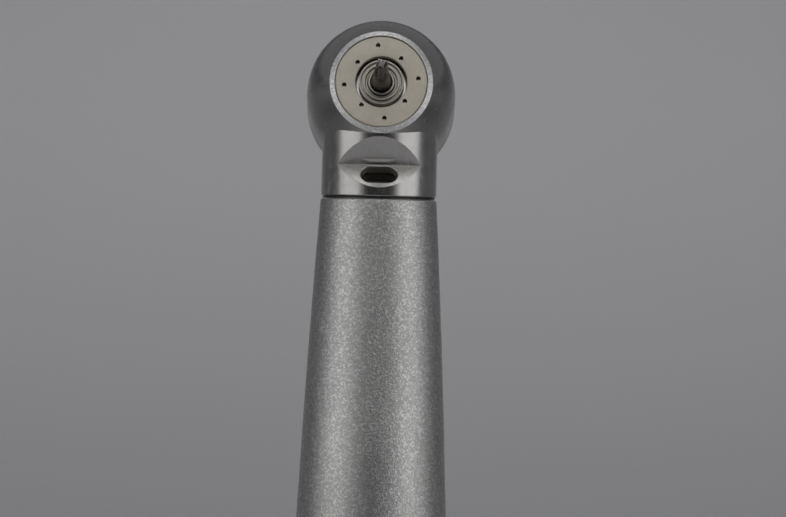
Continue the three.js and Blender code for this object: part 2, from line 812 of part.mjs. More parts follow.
place(handpiece, "body_sleeve", bodySleeve(), blasted);
place(handpiece, "rear_collar", rearCollar(), polished);
place(handpiece, "sleeve_o_ring", sleeveORing(), rubber);
place(handpiece, "connector_body", connectorBody(), polished);
place(handpiece, "exhaust_pipe", exhaustPipe(), steel);
place(handpiece, "drive_air_tube", spineTube(PIPES.drive, -6.5, 109, 0.25), steel);
place(handpiece, "water_tube", spineTube(PIPES.water, -5, 108.6, 0.22), steel);
place(handpiece, "chip_air_tube", spineTube(PIPES.chip, -5, 108.6, 0.22), steel);
place(handpiece, "light_guide", lightGuide(), glass);
place(handpiece, "lamp", lamp(), lampWhite);
place(handpiece, "lamp_holder", lampHolder(), aluminium);
for (const [side, sign] of [["left", -1], ["right", 1]]) {
  place(handpiece, `contact_pin_${side}`, contactPin(sign), brass);
  place(handpiece, `lamp_lead_${side}`, lampLead(sign), brass);
}

export default handpiece;
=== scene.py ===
"""A high speed dental handpiece in a plain studio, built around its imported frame.

Shapes are modelled in millimetres in one of three working frames and are carried into the
row frame, in metres, when they are delivered:

* HEAD: origin where the bur axis crosses the neck axis, z along the bur towards its tip.
* NECK: the same origin, z up the neck's axis.
* GRIP: the row frame itself, z up the straight grip from the hose face.
"""

from __future__ import annotations

import json
import logging
import math
from dataclasses import dataclass, field
from enum import Enum
from typing import Callable, Iterable, Sequence

import bmesh
import bpy
from mathutils import Matrix, Vector

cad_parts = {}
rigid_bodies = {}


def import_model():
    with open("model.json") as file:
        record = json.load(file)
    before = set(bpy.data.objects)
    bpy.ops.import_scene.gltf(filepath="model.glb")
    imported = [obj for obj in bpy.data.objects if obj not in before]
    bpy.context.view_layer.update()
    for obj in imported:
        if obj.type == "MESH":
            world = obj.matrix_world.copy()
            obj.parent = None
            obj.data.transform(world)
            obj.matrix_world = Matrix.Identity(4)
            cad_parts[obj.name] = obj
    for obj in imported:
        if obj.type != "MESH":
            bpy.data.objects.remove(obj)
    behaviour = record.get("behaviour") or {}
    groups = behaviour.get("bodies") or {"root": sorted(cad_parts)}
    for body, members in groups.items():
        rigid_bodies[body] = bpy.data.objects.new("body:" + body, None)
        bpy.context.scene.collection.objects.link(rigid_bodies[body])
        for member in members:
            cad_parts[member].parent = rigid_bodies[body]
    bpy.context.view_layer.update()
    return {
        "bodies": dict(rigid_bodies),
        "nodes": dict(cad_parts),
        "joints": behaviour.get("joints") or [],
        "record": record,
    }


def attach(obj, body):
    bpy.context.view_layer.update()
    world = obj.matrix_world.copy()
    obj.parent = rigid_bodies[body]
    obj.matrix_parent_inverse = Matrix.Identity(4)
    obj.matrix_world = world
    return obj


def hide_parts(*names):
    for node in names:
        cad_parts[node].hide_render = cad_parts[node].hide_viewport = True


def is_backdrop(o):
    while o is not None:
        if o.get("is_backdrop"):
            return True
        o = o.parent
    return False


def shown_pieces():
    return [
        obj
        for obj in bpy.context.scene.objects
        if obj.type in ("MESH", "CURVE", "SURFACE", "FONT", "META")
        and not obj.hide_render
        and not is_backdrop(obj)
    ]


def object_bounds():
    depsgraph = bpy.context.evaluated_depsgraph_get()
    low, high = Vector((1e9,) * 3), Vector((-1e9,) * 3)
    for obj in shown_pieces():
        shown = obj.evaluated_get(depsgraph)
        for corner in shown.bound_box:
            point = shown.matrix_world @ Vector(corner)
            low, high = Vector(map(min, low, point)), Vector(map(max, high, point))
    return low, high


LOG = logging.getLogger("handpiece")

MM = 0.001
FULL_TURN = 2 * math.pi
NEARLY_STRAIGHT = math.pi - 0.02
ON_AXIS = 0.0001  # a radius that only turns copies, for tools that are already out from the axis
HEAD_LEAN = math.radians(10)  # the bur axis, from square to the neck

FLOAT = "NodeSocketFloat"
SHAPE = "NodeSocketGeometry"

Colour = tuple[float, float, float]
Socket = bpy.types.NodeSocket
Sockets = bpy.types.bpy_prop_collection


class Body(Enum):
    """The rigid bodies that pieces ride on."""

    CASE = "handpiece_body"
    BUTTON = "push_button"
    ROTOR = "rotor"
    FRONT_CAGE = "front_ball_cage"
    REAR_CAGE = "rear_ball_cage"
    PLUNGER = "chuck_plunger"
    BUR = "bur"


class Frame(Enum):
    """The working frames that shapes and turning marks are laid out in."""

    HEAD = "head"
    NECK = "neck"
    GRIP = "grip"


# ------------------------------------------------------------------ frames and the spine
class Layout:
    """Where the working frames lie in the row frame."""

    def __init__(self, record: dict) -> None:
        """Reads the bur axis from the turbine's joint.

        Args:
            record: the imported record.
        """
        joints = {joint["name"]: joint for joint in record["behaviour"]["joints"]}
        spin = joints["turbine_spin"]
        self.origin = Vector(spin["pos_m"])
        self.bur = Vector(spin["axis"]).normalized()
        lean = Matrix.Rotation(HEAD_LEAN - math.pi / 2, 3, "X")
        self.neck = (lean @ self.bur).normalized()

    def axes(self, frame: Frame) -> Matrix:
        """Gives a frame's axes and origin, in metres, as a 4x4 matrix.

        Args:
            frame: the working frame.

        Returns:
            The matrix, whose columns are the frame's x, y and z and its origin.
        """
        if frame is Frame.GRIP:
            return Matrix.Identity(4)
        z = self.bur if frame is Frame.HEAD else self.neck
        x = Vector((1, 0, 0))
        y = z.cross(x)
        turn = Matrix((x, y, z)).transposed().to_4x4()
        return Matrix.Translation(self.origin) @ turn

    def carry(self, frame: Frame) -> Matrix:
        """Gives the matrix from a frame's millimetres to the row frame's metres."""
        return self.axes(frame) @ Matrix.Scale(MM, 4)


@dataclass(frozen=True)
class Station:
    """A point on the centre line, with its section's own x and y."""

    point: Vector
    x: Vector
    y: Vector


@dataclass(frozen=True)
class Spine:
    """The handpiece's centre line, in millimetres: straight grip, knee and straight front."""

    grip: float = 68.0
    knee_radius: float = 60.0
    knee: float = math.radians(20)
    front: float = 27.5

    @property
    def length(self) -> float:
        """The distance from the hose face to the bur axis."""
        return self.grip + self.knee_radius * self.knee + self.front

    def at(self, distance: float) -> Station:
        """Finds the centre line's frame.

        Args:
            distance: how far along the centre line from the hose face.

        Returns:
            The station there.
        """
        bend = min(max((distance - self.grip) / self.knee_radius, 0.0), self.knee)
        before = min(distance, self.grip)
        after = max(distance - self.grip - self.knee_radius * self.knee, 0.0)
        rise = before + self.knee_radius * math.sin(bend) + after * math.cos(bend)
        lean = self.knee_radius * (1 - math.cos(bend)) + after * math.sin(bend)
        return Station(
            Vector((0, lean, rise)),
            Vector((1, 0, 0)),
            Vector((0, math.cos(bend), -math.sin(bend))),
        )


# ------------------------------------------------------------------ outlines and meshes
Outline = Sequence[tuple[float, ...]]
"""Corners of a turned outline: radius, height and, where a corner is rounded, its fillet."""


def rounded(corners: Outline, looped: bool = False, steps: int = 5) -> list[Vector]:
    """Rounds the corners of an outline.

    Args:
        corners: the outline's corners in order.
        looped: whether the last corner joins the first.
        steps: spans in each rounded corner.

    Returns:
        Points of radius and height.
    """
    spots = [Vector(corner[:2]) for corner in corners]
    last = len(spots) - 1
    points: list[Vector] = []
    for index, (here, corner) in enumerate(zip(spots, corners)):
        fillet = corner[2] if len(corner) > 2 else 0.0
        back = spots[index - 1] - here
        ahead = spots[(index + 1) % len(spots)] - here
        end = not looped and index in (0, last)
        if end or fillet <= 0 or back.angle(ahead) > NEARLY_STRAIGHT:
            points.append(here)
            continue
        half = back.angle(ahead) / 2
        reach = min(fillet / math.tan(half), 0.45 * back.length, 0.45 * ahead.length)
        radius = reach * math.tan(half)
        bisector = (back.normalized() + ahead.normalized()).normalized()
        centre = here + bisector * (radius / math.sin(half))
        start = here + back.normalized() * reach - centre
        finish = here + ahead.normalized() * reach - centre
        begin = math.atan2(start.y, start.x)
        swing = math.remainder(math.atan2(finish.y, finish.x) - begin, FULL_TURN)
        for step in range(steps + 1):
            angle = begin + swing * step / steps
            points.append(centre + Vector((math.cos(angle), math.sin(angle))) * radius)
    return points


def rod(radius: float, low: float, high: float) -> Outline:
    """Gives the corners of a plain round rod."""
    return [(0, low), (radius, low), (radius, high), (0, high)]


def bow(centre: tuple[float, float], half: tuple[float, float], start: float, end: float,
        steps: int) -> Outline:
    """Makes corners along an elliptical arc.

    Args:
        centre: the ellipse's centre, as radius and height.
        half: its half axes along radius and height.
        start: the first angle, in radians.
        end: the last angle.
        steps: spans in the arc.

    Returns:
        The arc's corners, with no fillets.
    """
    angles = [start + (end - start) * step / steps for step in range(steps + 1)]
    (radius, height), (out, up) = centre, half
    return [(radius + out * math.cos(angle), height + up * math.sin(angle)) for angle in angles]


def divided(outline: Sequence[Vector], low: float, high: float, step: float) -> list[Vector]:
    """Adds points along the stretches of an outline that run between two heights.

    Args:
        outline: points of radius and height.
        low: the lower height.
        high: the upper height.
        step: the largest spacing left there.

    Returns:
        The finer outline.
    """
    points = [outline[0]]
    for before, after in zip(outline, outline[1:]):
        middle = (before.y + after.y) / 2
        spans = max(1, math.ceil((after - before).length / step)) if low < middle < high else 1
        points += [before.lerp(after, span / spans) for span in range(1, spans + 1)]
    return points


def smoothed(stops: Sequence[Vector], steps: int) -> list[Vector]:
    """Runs a smooth curve through stops.

    Args:
        stops: the points that it passes through.
        steps: spans in the whole curve.

    Returns:
        The curve's points.
    """
    last = len(stops) - 1
    points = []
    for step in range(steps + 1):
        place = last * step / steps
        index = min(int(place), last - 1)
        share = place - index
        nearby = (stops[max(0, min(last, index + shift))] for shift in (-1, 0, 1, 2))
        before, here, there, after = nearby
        pull, push = (there - before) * 0.5, (after - here) * 0.5
        cube = (here - there) * 2 + pull + push
        square = (there - here) * 3 - pull * 2 - push
        points.append(cube * share**3 + square * share**2 + pull * share + here)
    return points


def tidy_mesh(name: str, points: Sequence[Vector], faces: Sequence[Sequence[int]]) -> bpy.types.Mesh:
    """Makes a mesh whose doubles are merged and whose faces point outwards.

    Args:
        name: the mesh's name.
        points: its vertices.
        faces: its faces, as vertex indices.

    Returns:
        The mesh.
    """
    mesh = bpy.data.meshes.new(name)
    mesh.from_pydata([tuple(point) for point in points], [], [tuple(face) for face in faces])
    shape = bmesh.new()
    shape.from_mesh(mesh)
    bmesh.ops.remove_doubles(shape, verts=shape.verts, dist=1e-5)
    bmesh.ops.recalc_face_normals(shape, faces=shape.faces)
    shape.to_mesh(mesh)
    shape.free()
    return mesh


def turned(outline: Sequence[Vector], segments: int = 128, looped: bool = False) -> bpy.types.Mesh:
    """Turns an outline about the z axis.

    Args:
        outline: points of radius and height, from axis to axis unless looped.
        segments: faces in a full turn.
        looped: whether the last point joins the first.

    Returns:
        A closed mesh.
    """
    points: list[Vector] = []
    rows: list[list[int]] = []
    for spot in outline:
        first = len(points)
        if spot.x < 1e-6:
            points.append(Vector((0, 0, spot.y)))
            rows.append([first] * segments)
            continue
        for step in range(segments):
            angle = FULL_TURN * step / segments
            points.append(Vector((spot.x * math.cos(angle), spot.x * math.sin(angle), spot.y)))
        rows.append(list(range(first, first + segments)))
    pairs = list(zip(rows, rows[1:]))
    if looped:
        pairs.append((rows[-1], rows[0]))
    faces = []
    for lower, upper in pairs:
        for step in range(segments):
            ahead = (step + 1) % segments
            ring = (lower[step], lower[ahead], upper[ahead], upper[step])
            face = tuple(dict.fromkeys(ring))
            if len(face) > 2:
                faces.append(face)
    return tidy_mesh("turned", points, faces)


def lathe(corners: Outline, segments: int = 128, looped: bool = False, steps: int = 5) -> bpy.types.Mesh:
    """Rounds an outline's corners and turns it about the z axis."""
    return turned(rounded(corners, looped, steps), segments, looped)


def washer(inner: float, outer: float, low: float, high: float, fillet: float,
           segments: int = 96) -> bpy.types.Mesh:
    """Turns a ring of square section with rounded edges."""
    edges = ((inner, low), (outer, low), (outer, high), (inner, high))
    return lathe([(*edge, fillet) for edge in edges], segments, looped=True)


def skinned(rings: Sequence[Sequence[Vector]], looped: bool = False) -> bpy.types.Mesh:
    """Covers rings of points with faces.

    Args:
        rings: rings with the same number of points.
        looped: joins the last ring to the first. Otherwise both ends are capped.

    Returns:
        A closed mesh.
    """
    count = len(rings[0])
    points = [point for ring in rings for point in ring]
    spans = len(rings) if looped else len(rings) - 1
    faces: list[Sequence[int]] = []
    for span in range(spans):
        here = span * count
        there = (span + 1) % len(rings) * count
        for step in range(count):
            ahead = (step + 1) % count
            faces.append((here + step, here + ahead, there + ahead, there + step))
    if not looped:
        last = (len(rings) - 1) * count
        faces.append(list(range(count)))
        faces.append([last + step for step in range(count)])
    return tidy_mesh("skinned", points, faces)


def extruded(outline: Outline, low: float, high: float) -> bpy.types.Mesh:
    """Makes a prism from an outline in x and y, between two heights."""
    return skinned([[Vector((x, y, height)) for x, y in outline] for height in (low, high)])


def section(station: Station, half: tuple[float, float], sides: int,
            offset: tuple[float, float] = (0.0, 0.0)) -> list[Vector]:
    """Draws a section with round ends across a station.

    Args:
        station: the frame that it lies in.
        half: half its width and half its height. Equal halves make it round.
        sides: points around it.
        offset: how far its middle is from the station's point, along its x and y.

    Returns:
        The section's points.
    """
    straight = half[0] - half[1]
    points = []
    for step in range(sides):
        angle = FULL_TURN * (step + 0.5) / sides
        across = offset[0] + math.copysign(straight, math.cos(angle)) + half[1] * math.cos(angle)
        up = offset[1] + half[1] * math.sin(angle)
        points.append(station.point + station.x * across + station.y * up)
    return points


def eased(start: float, end: float, share: float) -> float:
    """Goes smoothly from one value to another as share goes from 0 to 1."""
    share = min(max(share, 0.0), 1.0)
    return start + (end - start) * share * share * (3 - 2 * share)


def moved(mesh: bpy.types.Mesh, matrix: Matrix) -> bpy.types.Mesh:
    """Moves a mesh's vertices and gives the mesh back."""
    mesh.transform(matrix)
    return mesh


def shifted(mesh: bpy.types.Mesh, x: float = 0.0, y: float = 0.0, z: float = 0.0) -> bpy.types.Mesh:
    """Shifts a mesh's vertices and gives the mesh back."""
    return moved(mesh, Matrix.Translation((x, y, z)))


# ------------------------------------------------------------------ modifiers and nodes
def on_bench(mesh: bpy.types.Mesh) -> bpy.types.Object:
    """Puts a mesh in the scene as a passing object."""
    bench = bpy.data.objects.new("bench", mesh)
    bpy.context.scene.collection.objects.link(bench)
    return bench


def settled(bench: bpy.types.Object) -> bpy.types.Mesh:
    """Takes an object's evaluated shape as a plain mesh and clears the object away."""
    depsgraph = bpy.context.evaluated_depsgraph_get()
    depsgraph.update()
    mesh = bpy.data.meshes.new_from_object(bench.evaluated_get(depsgraph))
    bpy.data.objects.remove(bench)
    return mesh


class Carving(Enum):
    """How a tool meets the body that it works on."""

    CUT = "DIFFERENCE"
    WELD = "UNION"


def carved(body: bpy.types.Mesh, tools: Iterable[bpy.types.Mesh],
           how: Carving = Carving.CUT) -> bpy.types.Mesh:
    """Cuts tools out of a body, or welds them to it, one after another.

    Args:
        body: the closed mesh to work on.
        tools: closed meshes in the same frame.
        how: cut or weld.

    Returns:
        The new mesh.
    """
    for tool in tools:
        work = on_bench(body)
        other = on_bench(tool)
        step = work.modifiers.new("carve", "BOOLEAN")
        step.operation = how.value
        step.solver = "MANIFOLD"
        step.object = other
        body = settled(work)
        bpy.data.objects.remove(other)
    return body


class Web:
    """Adds nodes to a tree and joins them."""

    def __init__(self, tree: bpy.types.NodeTree) -> None:
        """Keeps the tree, for shaders or for geometry."""
        self.tree = tree

    def add(self, kind: str, inputs: dict | None = None, **settings: object) -> bpy.types.Node:
        """Adds a node.

        Args:
            kind: the node's type name.
            inputs: values or sockets for its inputs, by name or number.
            settings: the node's own properties.

        Returns:
            The node.
        """
        node = self.tree.nodes.new(kind)
        for name, value in settings.items():
            setattr(node, name, value)
        for key, value in (inputs or {}).items():
            self.feed(node.inputs[key], value)
        return node

    def feed(self, socket: Socket, value: object) -> None:
        """Links a socket to another, or sets its value."""
        if isinstance(value, Socket):
            self.tree.links.new(value, socket)
        else:
            socket.default_value = value

    def maths(self, operation: str, *values: object) -> Socket:
        """Adds a Math node and gives its result."""
        return self.add("ShaderNodeMath", dict(enumerate(values)), operation=operation).outputs[0]

    def vectors(self, operation: str, *values: object, scale: Socket | None = None) -> Socket:
        """Adds a Vector Math node and gives its result, a plain value for a length or a product."""
        node = self.add("ShaderNodeVectorMath", dict(enumerate(values)), operation=operation)
        if scale is not None:
            self.feed(node.inputs["Scale"], scale)
        return node.outputs["Value" if operation in ("LENGTH", "DOT_PRODUCT") else "Vector"]

    def xyz(self, vector: Socket) -> Sockets:
        """Splits a vector into X, Y and Z."""
        return self.add("ShaderNodeSeparateXYZ", {0: vector}).outputs

    def flattened(self, place: Sockets) -> Socket:
        """Gives the part of a split place that is square to z."""
        return self.add("ShaderNodeCombineXYZ", {"X": place["X"], "Y": place["Y"]}).outputs[0]

    def bearing(self, place: Sockets) -> Socket:
        """Gives a split place's angle about z."""
        return self.maths("ARCTAN2", place["Y"], place["X"])

    def noise(self, at: Socket, scale: float = 1.0, detail: float = 2.0, **more: float) -> Socket:
        """Adds a noise texture.

        Args:
            at: where it is looked up, as a place or as a plain value along a line.
            scale: how fine it is.
            detail: its octaves.
            more: other inputs, by name.

        Returns:
            Its value.
        """
        line = at.type == "VALUE"
        inputs = {"W" if line else "Vector": at, "Scale": scale, "Detail": detail}
        inputs.update({name.capitalize(): value for name, value in more.items()})
        node = self.add("ShaderNodeTexNoise", inputs, noise_dimensions="1D" if line else "3D")
        return node.outputs[0]

    def ranged(self, value: Socket, start: float, end: float, smooth: bool = False) -> Socket:
        """Maps a value's stretch from start to end onto 0 to 1."""
        inputs = {"Value": value, "From Min": start, "From Max": end}
        blend = "SMOOTHSTEP" if smooth else "LINEAR"
        return self.add("ShaderNodeMapRange", inputs, interpolation_type=blend).outputs[0]

    def blended(self, mask: object, low: object, high: object) -> Socket:
        """Mixes two colours by a mask or a share."""
        node = self.add("ShaderNodeMix", data_type="RGBA")
        for number, value in zip((0, 6, 7), (mask, low, high)):
            self.feed(node.inputs[number], (*value, 1.0) if isinstance(value, tuple) else value)
        return node.outputs[2]


class GroupWeb(Web):
    """A web on a new node group with named sockets."""

    def __init__(self, name: str, kind: str, inputs: Sequence[tuple], outputs: dict[str, str]) -> None:
        """Starts the group.

        Args:
            name: the group's name.
            kind: ShaderNodeTree or GeometryNodeTree.
            inputs: name, socket type and default (or None) of each input.
            outputs: the socket type of each output, by name.
        """
        super().__init__(bpy.data.node_groups.new(name, kind))
        for label, socket_type, default in inputs:
            socket = self.tree.interface.new_socket(label, in_out="INPUT", socket_type=socket_type)
            if default is not None:
                socket.default_value = default
        for label, socket_type in outputs.items():
            self.tree.interface.new_socket(label, in_out="OUTPUT", socket_type=socket_type)
        self.given = self.add("NodeGroupInput").outputs
        self.result = self.add("NodeGroupOutput").inputs

    def closed(self, **values: Socket) -> bpy.types.NodeTree:
        """Feeds the group's outputs, by name, and gives its tree."""
        for name, value in values.items():
            self.feed(self.result[name], value)
        return self.tree


class Recipe:
    """A Geometry Nodes tree that is built once and grown on meshes."""

    name = "Recipe"
    sockets: dict[str, float] = {}
    whole: Sequence[str] = ()

    def __init__(self) -> None:
        """Builds the tree, with Geometry first and Material last among its inputs."""
        inputs = [("Geometry", SHAPE, None)]
        for label, default in self.sockets.items():
            inputs.append((label, "NodeSocketInt" if label in self.whole else FLOAT, default))
        inputs.append(("Material", "NodeSocketMaterial", None))
        self.web = GroupWeb(self.name, "GeometryNodeTree", inputs, {"Geometry": SHAPE})
        self.given = self.web.given
        real = self.web.add("GeometryNodeRealizeInstances", {"Geometry": self.build()})
        dressing = {"Geometry": real.outputs[0], "Material": self.given["Material"]}
        dress = self.web.add("GeometryNodeSetMaterial", dressing)
        self.tree = self.web.closed(Geometry=dress.outputs[0])

    def build(self) -> Socket:
        """Adds the recipe's own nodes and gives the shape's socket."""
        return self.given["Geometry"]

    def grow(self, mesh: bpy.types.Mesh, material: bpy.types.Material, **values: object) -> bpy.types.Mesh:
        """Grows the tree on a mesh.

        Args:
            mesh: what the tree starts from.
            material: what the grown shape is dressed in.
            values: the tree's inputs, with _ for the spaces in their names.

        Returns:
            A plain mesh.
        """
        bench = on_bench(mesh)
        modifier = bench.modifiers.new(self.name, "NODES")
        modifier.node_group = self.tree
        wanted = {key.replace("_", " "): value for key, value in values.items()}
        wanted["material"] = material
        for item in self.tree.interface.items_tree:
            if item.item_type == "SOCKET" and item.in_out == "INPUT" and item.name.lower() in wanted:
                modifier[item.identifier] = wanted[item.name.lower()]
        return settled(bench)


class PolarArray(Recipe):
    """Copies of the mesh in a circle about z, each turned to face out."""

    name = "Polar array"
    sockets = {"Count": 6, "Radius": 1.0, "Turn": 0.0}
    whole = ("Count",)

    def build(self) -> Socket:
        """Puts an instance of the mesh on each point of a circle."""
        given, web = self.given, self.web
        circle = web.add("GeometryNodeMeshCircle", {"Vertices": given["Count"], "Radius": given["Radius"]})
        angle = web.add("ShaderNodeCombineXYZ", {"Z": given["Turn"]}).outputs[0]
        aimed = web.add("GeometryNodeTransform", {"Geometry": circle.outputs[0], "Rotation": angle})
        bearing = web.bearing(web.xyz(web.add("GeometryNodeInputPosition").outputs[0]))
        turn = web.add("ShaderNodeCombineXYZ", {"Z": bearing}).outputs[0]
        copies = {"Points": aimed.outputs[0], "Instance": given["Geometry"], "Rotation": turn}
        return web.add("GeometryNodeInstanceOnPoints", copies).outputs[0]


class HelicalRelief(Recipe):
    """Threads or diamond knurling, cut into the outer wall between two heights."""

    name = "Helical relief"
    sockets = {
        "Depth": 0.2, "Starts": 1.0, "Pitch": 1.0, "Crossed": 0.0, "Crest": 1.2,
        "Low": 0.0, "High": 1.0, "Fade": 0.2, "Core radius": 1.0,
    }

    def build(self) -> Socket:
        """Pushes each point of the outer wall in by the relief's depth there."""
        given, web = self.given, self.web
        place = web.xyz(web.add("GeometryNodeInputPosition").outputs[0])
        flat = web.flattened(place)
        turns = web.maths("MULTIPLY", web.bearing(place), given["Starts"])
        turns = web.maths("DIVIDE", turns, FULL_TURN)
        rises = web.maths("DIVIDE", place["Z"], given["Pitch"])
        right, left = (self._ridge(web.maths(sign, turns, rises)) for sign in ("ADD", "SUBTRACT"))
        left = web.maths("MAXIMUM", left, web.maths("SUBTRACT", 1.0, given["Crossed"]))
        hollow = web.maths("SUBTRACT", web.maths("MINIMUM", right, left), 1.0)
        ends = [
            web.maths("DIVIDE", web.maths("SUBTRACT", *heights), given["Fade"])
            for heights in ((place["Z"], given["Low"]), (given["High"], place["Z"]))
        ]
        share = web.add("ShaderNodeClamp", {"Value": web.maths("MINIMUM", *ends)}).outputs[0]
        outside = web.maths("GREATER_THAN", web.vectors("LENGTH", flat), given["Core radius"])
        depth = web.maths("MULTIPLY", hollow, given["Depth"])
        push = web.maths("MULTIPLY", depth, web.maths("MULTIPLY", share, outside))
        shift = web.vectors("SCALE", web.vectors("NORMALIZE", flat), scale=push)
        moving = {"Geometry": given["Geometry"], "Offset": shift}
        return web.add("GeometryNodeSetPosition", moving).outputs[0]

    def _ridge(self, phase: Socket) -> Socket:
        """Makes a ridge of height 1 for each whole step of the phase, with a flat crest."""
        slope = self.web.maths("MULTIPLY", self.web.maths("PINGPONG", phase, 0.5), 2.0)
        return self.web.maths("MINIMUM", self.web.maths("MULTIPLY", slope, self.given["Crest"]), 1.0)


class WoundWire(Recipe):
    """A round wire wound about z. The mesh that it starts from is not used."""

    name = "Wound wire"
    sockets = {"Coil radius": 2.0, "Wire radius": 0.2, "Turns": 3.0, "Height": 2.0}

    def build(self) -> Socket:
        """Sweeps a round section along a spiral curve."""
        given, web = self.given, self.web
        coil = {
            "Resolution": 48, "Rotations": given["Turns"], "Start Radius": given["Coil radius"],
            "End Radius": given["Coil radius"], "Height": given["Height"],
        }
        path = web.add("GeometryNodeCurveSpiral", coil).outputs[0]
        round_section = {"Resolution": 16, "Radius": given["Wire radius"]}
        wire = web.add("GeometryNodeCurvePrimitiveCircle", round_section).outputs[0]
        sweep = {"Curve": path, "Profile Curve": wire, "Fill Caps": True}
        return web.add("GeometryNodeCurveToMesh", sweep).outputs[0]


@dataclass
class Recipes:
    """The Geometry Nodes trees that the sub-assemblies share."""

    polar: PolarArray = field(default_factory=PolarArray)
    relief: HelicalRelief = field(default_factory=HelicalRelief)
    wire: WoundWire = field(default_factory=WoundWire)


# ------------------------------------------------------------------ shared shader effects
class Effects:
    """Shader groups that more than one finish uses, each built once."""

    def __init__(self) -> None:
        """Builds every group."""
        self.grain = self._grain()
        self.turning = self._turning()
        self.film = self._film()
        self.scratches = self._scratches()
        self.edges = self._edges()

    @staticmethod
    def _group(name: str, size: str, default: float, *outputs: str) -> GroupWeb:
        """Starts a group over a place, with one size among its inputs and values as its outputs."""
        inputs = [("Vector", "NodeSocketVector", None), (size, FLOAT, default)]
        return GroupWeb(name, "ShaderNodeTree", inputs, dict.fromkeys(outputs, FLOAT))

    @staticmethod
    def _scaled(web: GroupWeb) -> Socket:
        """Gives the group's place counted in its Size."""
        return web.vectors("SCALE", web.given["Vector"], scale=web.maths("DIVIDE", 1.0, web.given["Size"]))

    def _grain(self) -> bpy.types.NodeTree:
        """Blasted or cast grain: pits of one size with finer ones between them. Its Mask picks a few random
        cells out bright and leaves most dark; in metal colours it paints glints.
        """
        web = self._group("Grain", "Size", 0.2, "Height", "Mask")
        scaled = self._scaled(web)
        pits = web.add("ShaderNodeTexVoronoi", {"Vector": scaled, "Scale": 1.0}, feature="SMOOTH_F1")
        height = web.maths("ADD", pits.outputs["Distance"], web.noise(scaled, 1.3, 3.0, roughness=0.65))
        facet = web.add("ShaderNodeTexVoronoi", {"Vector": scaled, "Scale": 1.0})
        glint = web.add("ShaderNodeSeparateColor", {0: facet.outputs["Color"]}).outputs[0]
        patch = web.maths("MULTIPLY", web.noise(scaled, 0.45, 1.0), 2.0)
        shine = web.maths("MULTIPLY", web.maths("POWER", glint, 2.0), patch)
        return web.closed(Height=height, Mask=shine)

    def _turning(self) -> bpy.types.NodeTree:
        """Lathe marks: rings about the frame's z, on walls and faces alike."""
        web = self._group("Turning marks", "Pitch", 0.1, "Height", "Mask")
        place = web.xyz(web.given["Vector"])
        along = web.maths("ADD", web.vectors("LENGTH", web.flattened(place)), place["Z"])
        ring = web.maths("DIVIDE", along, web.given["Pitch"])
        bands = web.noise(web.maths("MULTIPLY", ring, 0.13))
        return web.closed(Height=web.noise(ring, detail=3.0), Mask=bands)

    def _film(self) -> bpy.types.NodeTree:
        """The uneven film that handling and wiping leave, with streaks up the handpiece."""
        web = self._group("Handling film", "Size", 4.0, "Mask", "Streaks")
        scaled = self._scaled(web)
        clouds = web.noise(scaled, detail=4.0, distortion=0.4)
        wiped = web.noise(web.vectors("MULTIPLY", scaled, (6.0, 6.0, 0.35)))
        return web.closed(Mask=web.ranged(clouds, 0.3, 0.7), Streaks=web.ranged(wiped, 0.35, 0.65))

    def _scratches(self) -> bpy.types.NodeTree:
        """Hairline scratches, from the borders of long bent cells."""
        web = self._group("Scratches", "Width", 0.02, "Mask")
        place, width = web.given["Vector"], web.given["Width"]
        bend = web.add("ShaderNodeTexNoise", {"Vector": place, "Scale": 0.5}).outputs["Color"]
        bent = web.vectors("ADD", place, bend)
        masks = []
        for turn in (0.5, 1.9):
            lay = {"Vector": bent, "Rotation": (turn, turn, 0), "Scale": (2.2, 0.5, 0.5)}
            laid = web.add("ShaderNodeMapping", lay).outputs[0]
            border = {"Vector": laid, "Scale": 1.0}
            cells = web.add("ShaderNodeTexVoronoi", border, feature="DISTANCE_TO_EDGE")
            line = web.maths("LESS_THAN", cells.outputs["Distance"], width)
            gaps = web.maths("GREATER_THAN", web.noise(laid, 1.7), 0.52)
            masks.append(web.maths("MULTIPLY", line, gaps))
        return web.closed(Mask=web.maths("MAXIMUM", *masks))

    def _edges(self) -> bpy.types.NodeTree:
        """Broken edges: the normal rounded over them, and a mask that is 1 along them."""
        outputs = {"Mask": FLOAT, "Normal": "NodeSocketVector"}
        web = GroupWeb("Broken edges", "ShaderNodeTree", [("Radius", FLOAT, 0.00005)], outputs)
        bevel = web.add("ShaderNodeBevel", {"Radius": web.given["Radius"]}, samples=4).outputs[0]
        plain = web.add("ShaderNodeNewGeometry").outputs["Normal"]
        facing = web.vectors("DOT_PRODUCT", bevel, plain)
        return web.closed(Mask=web.ranged(facing, 0.995, 0.88), Normal=bevel)


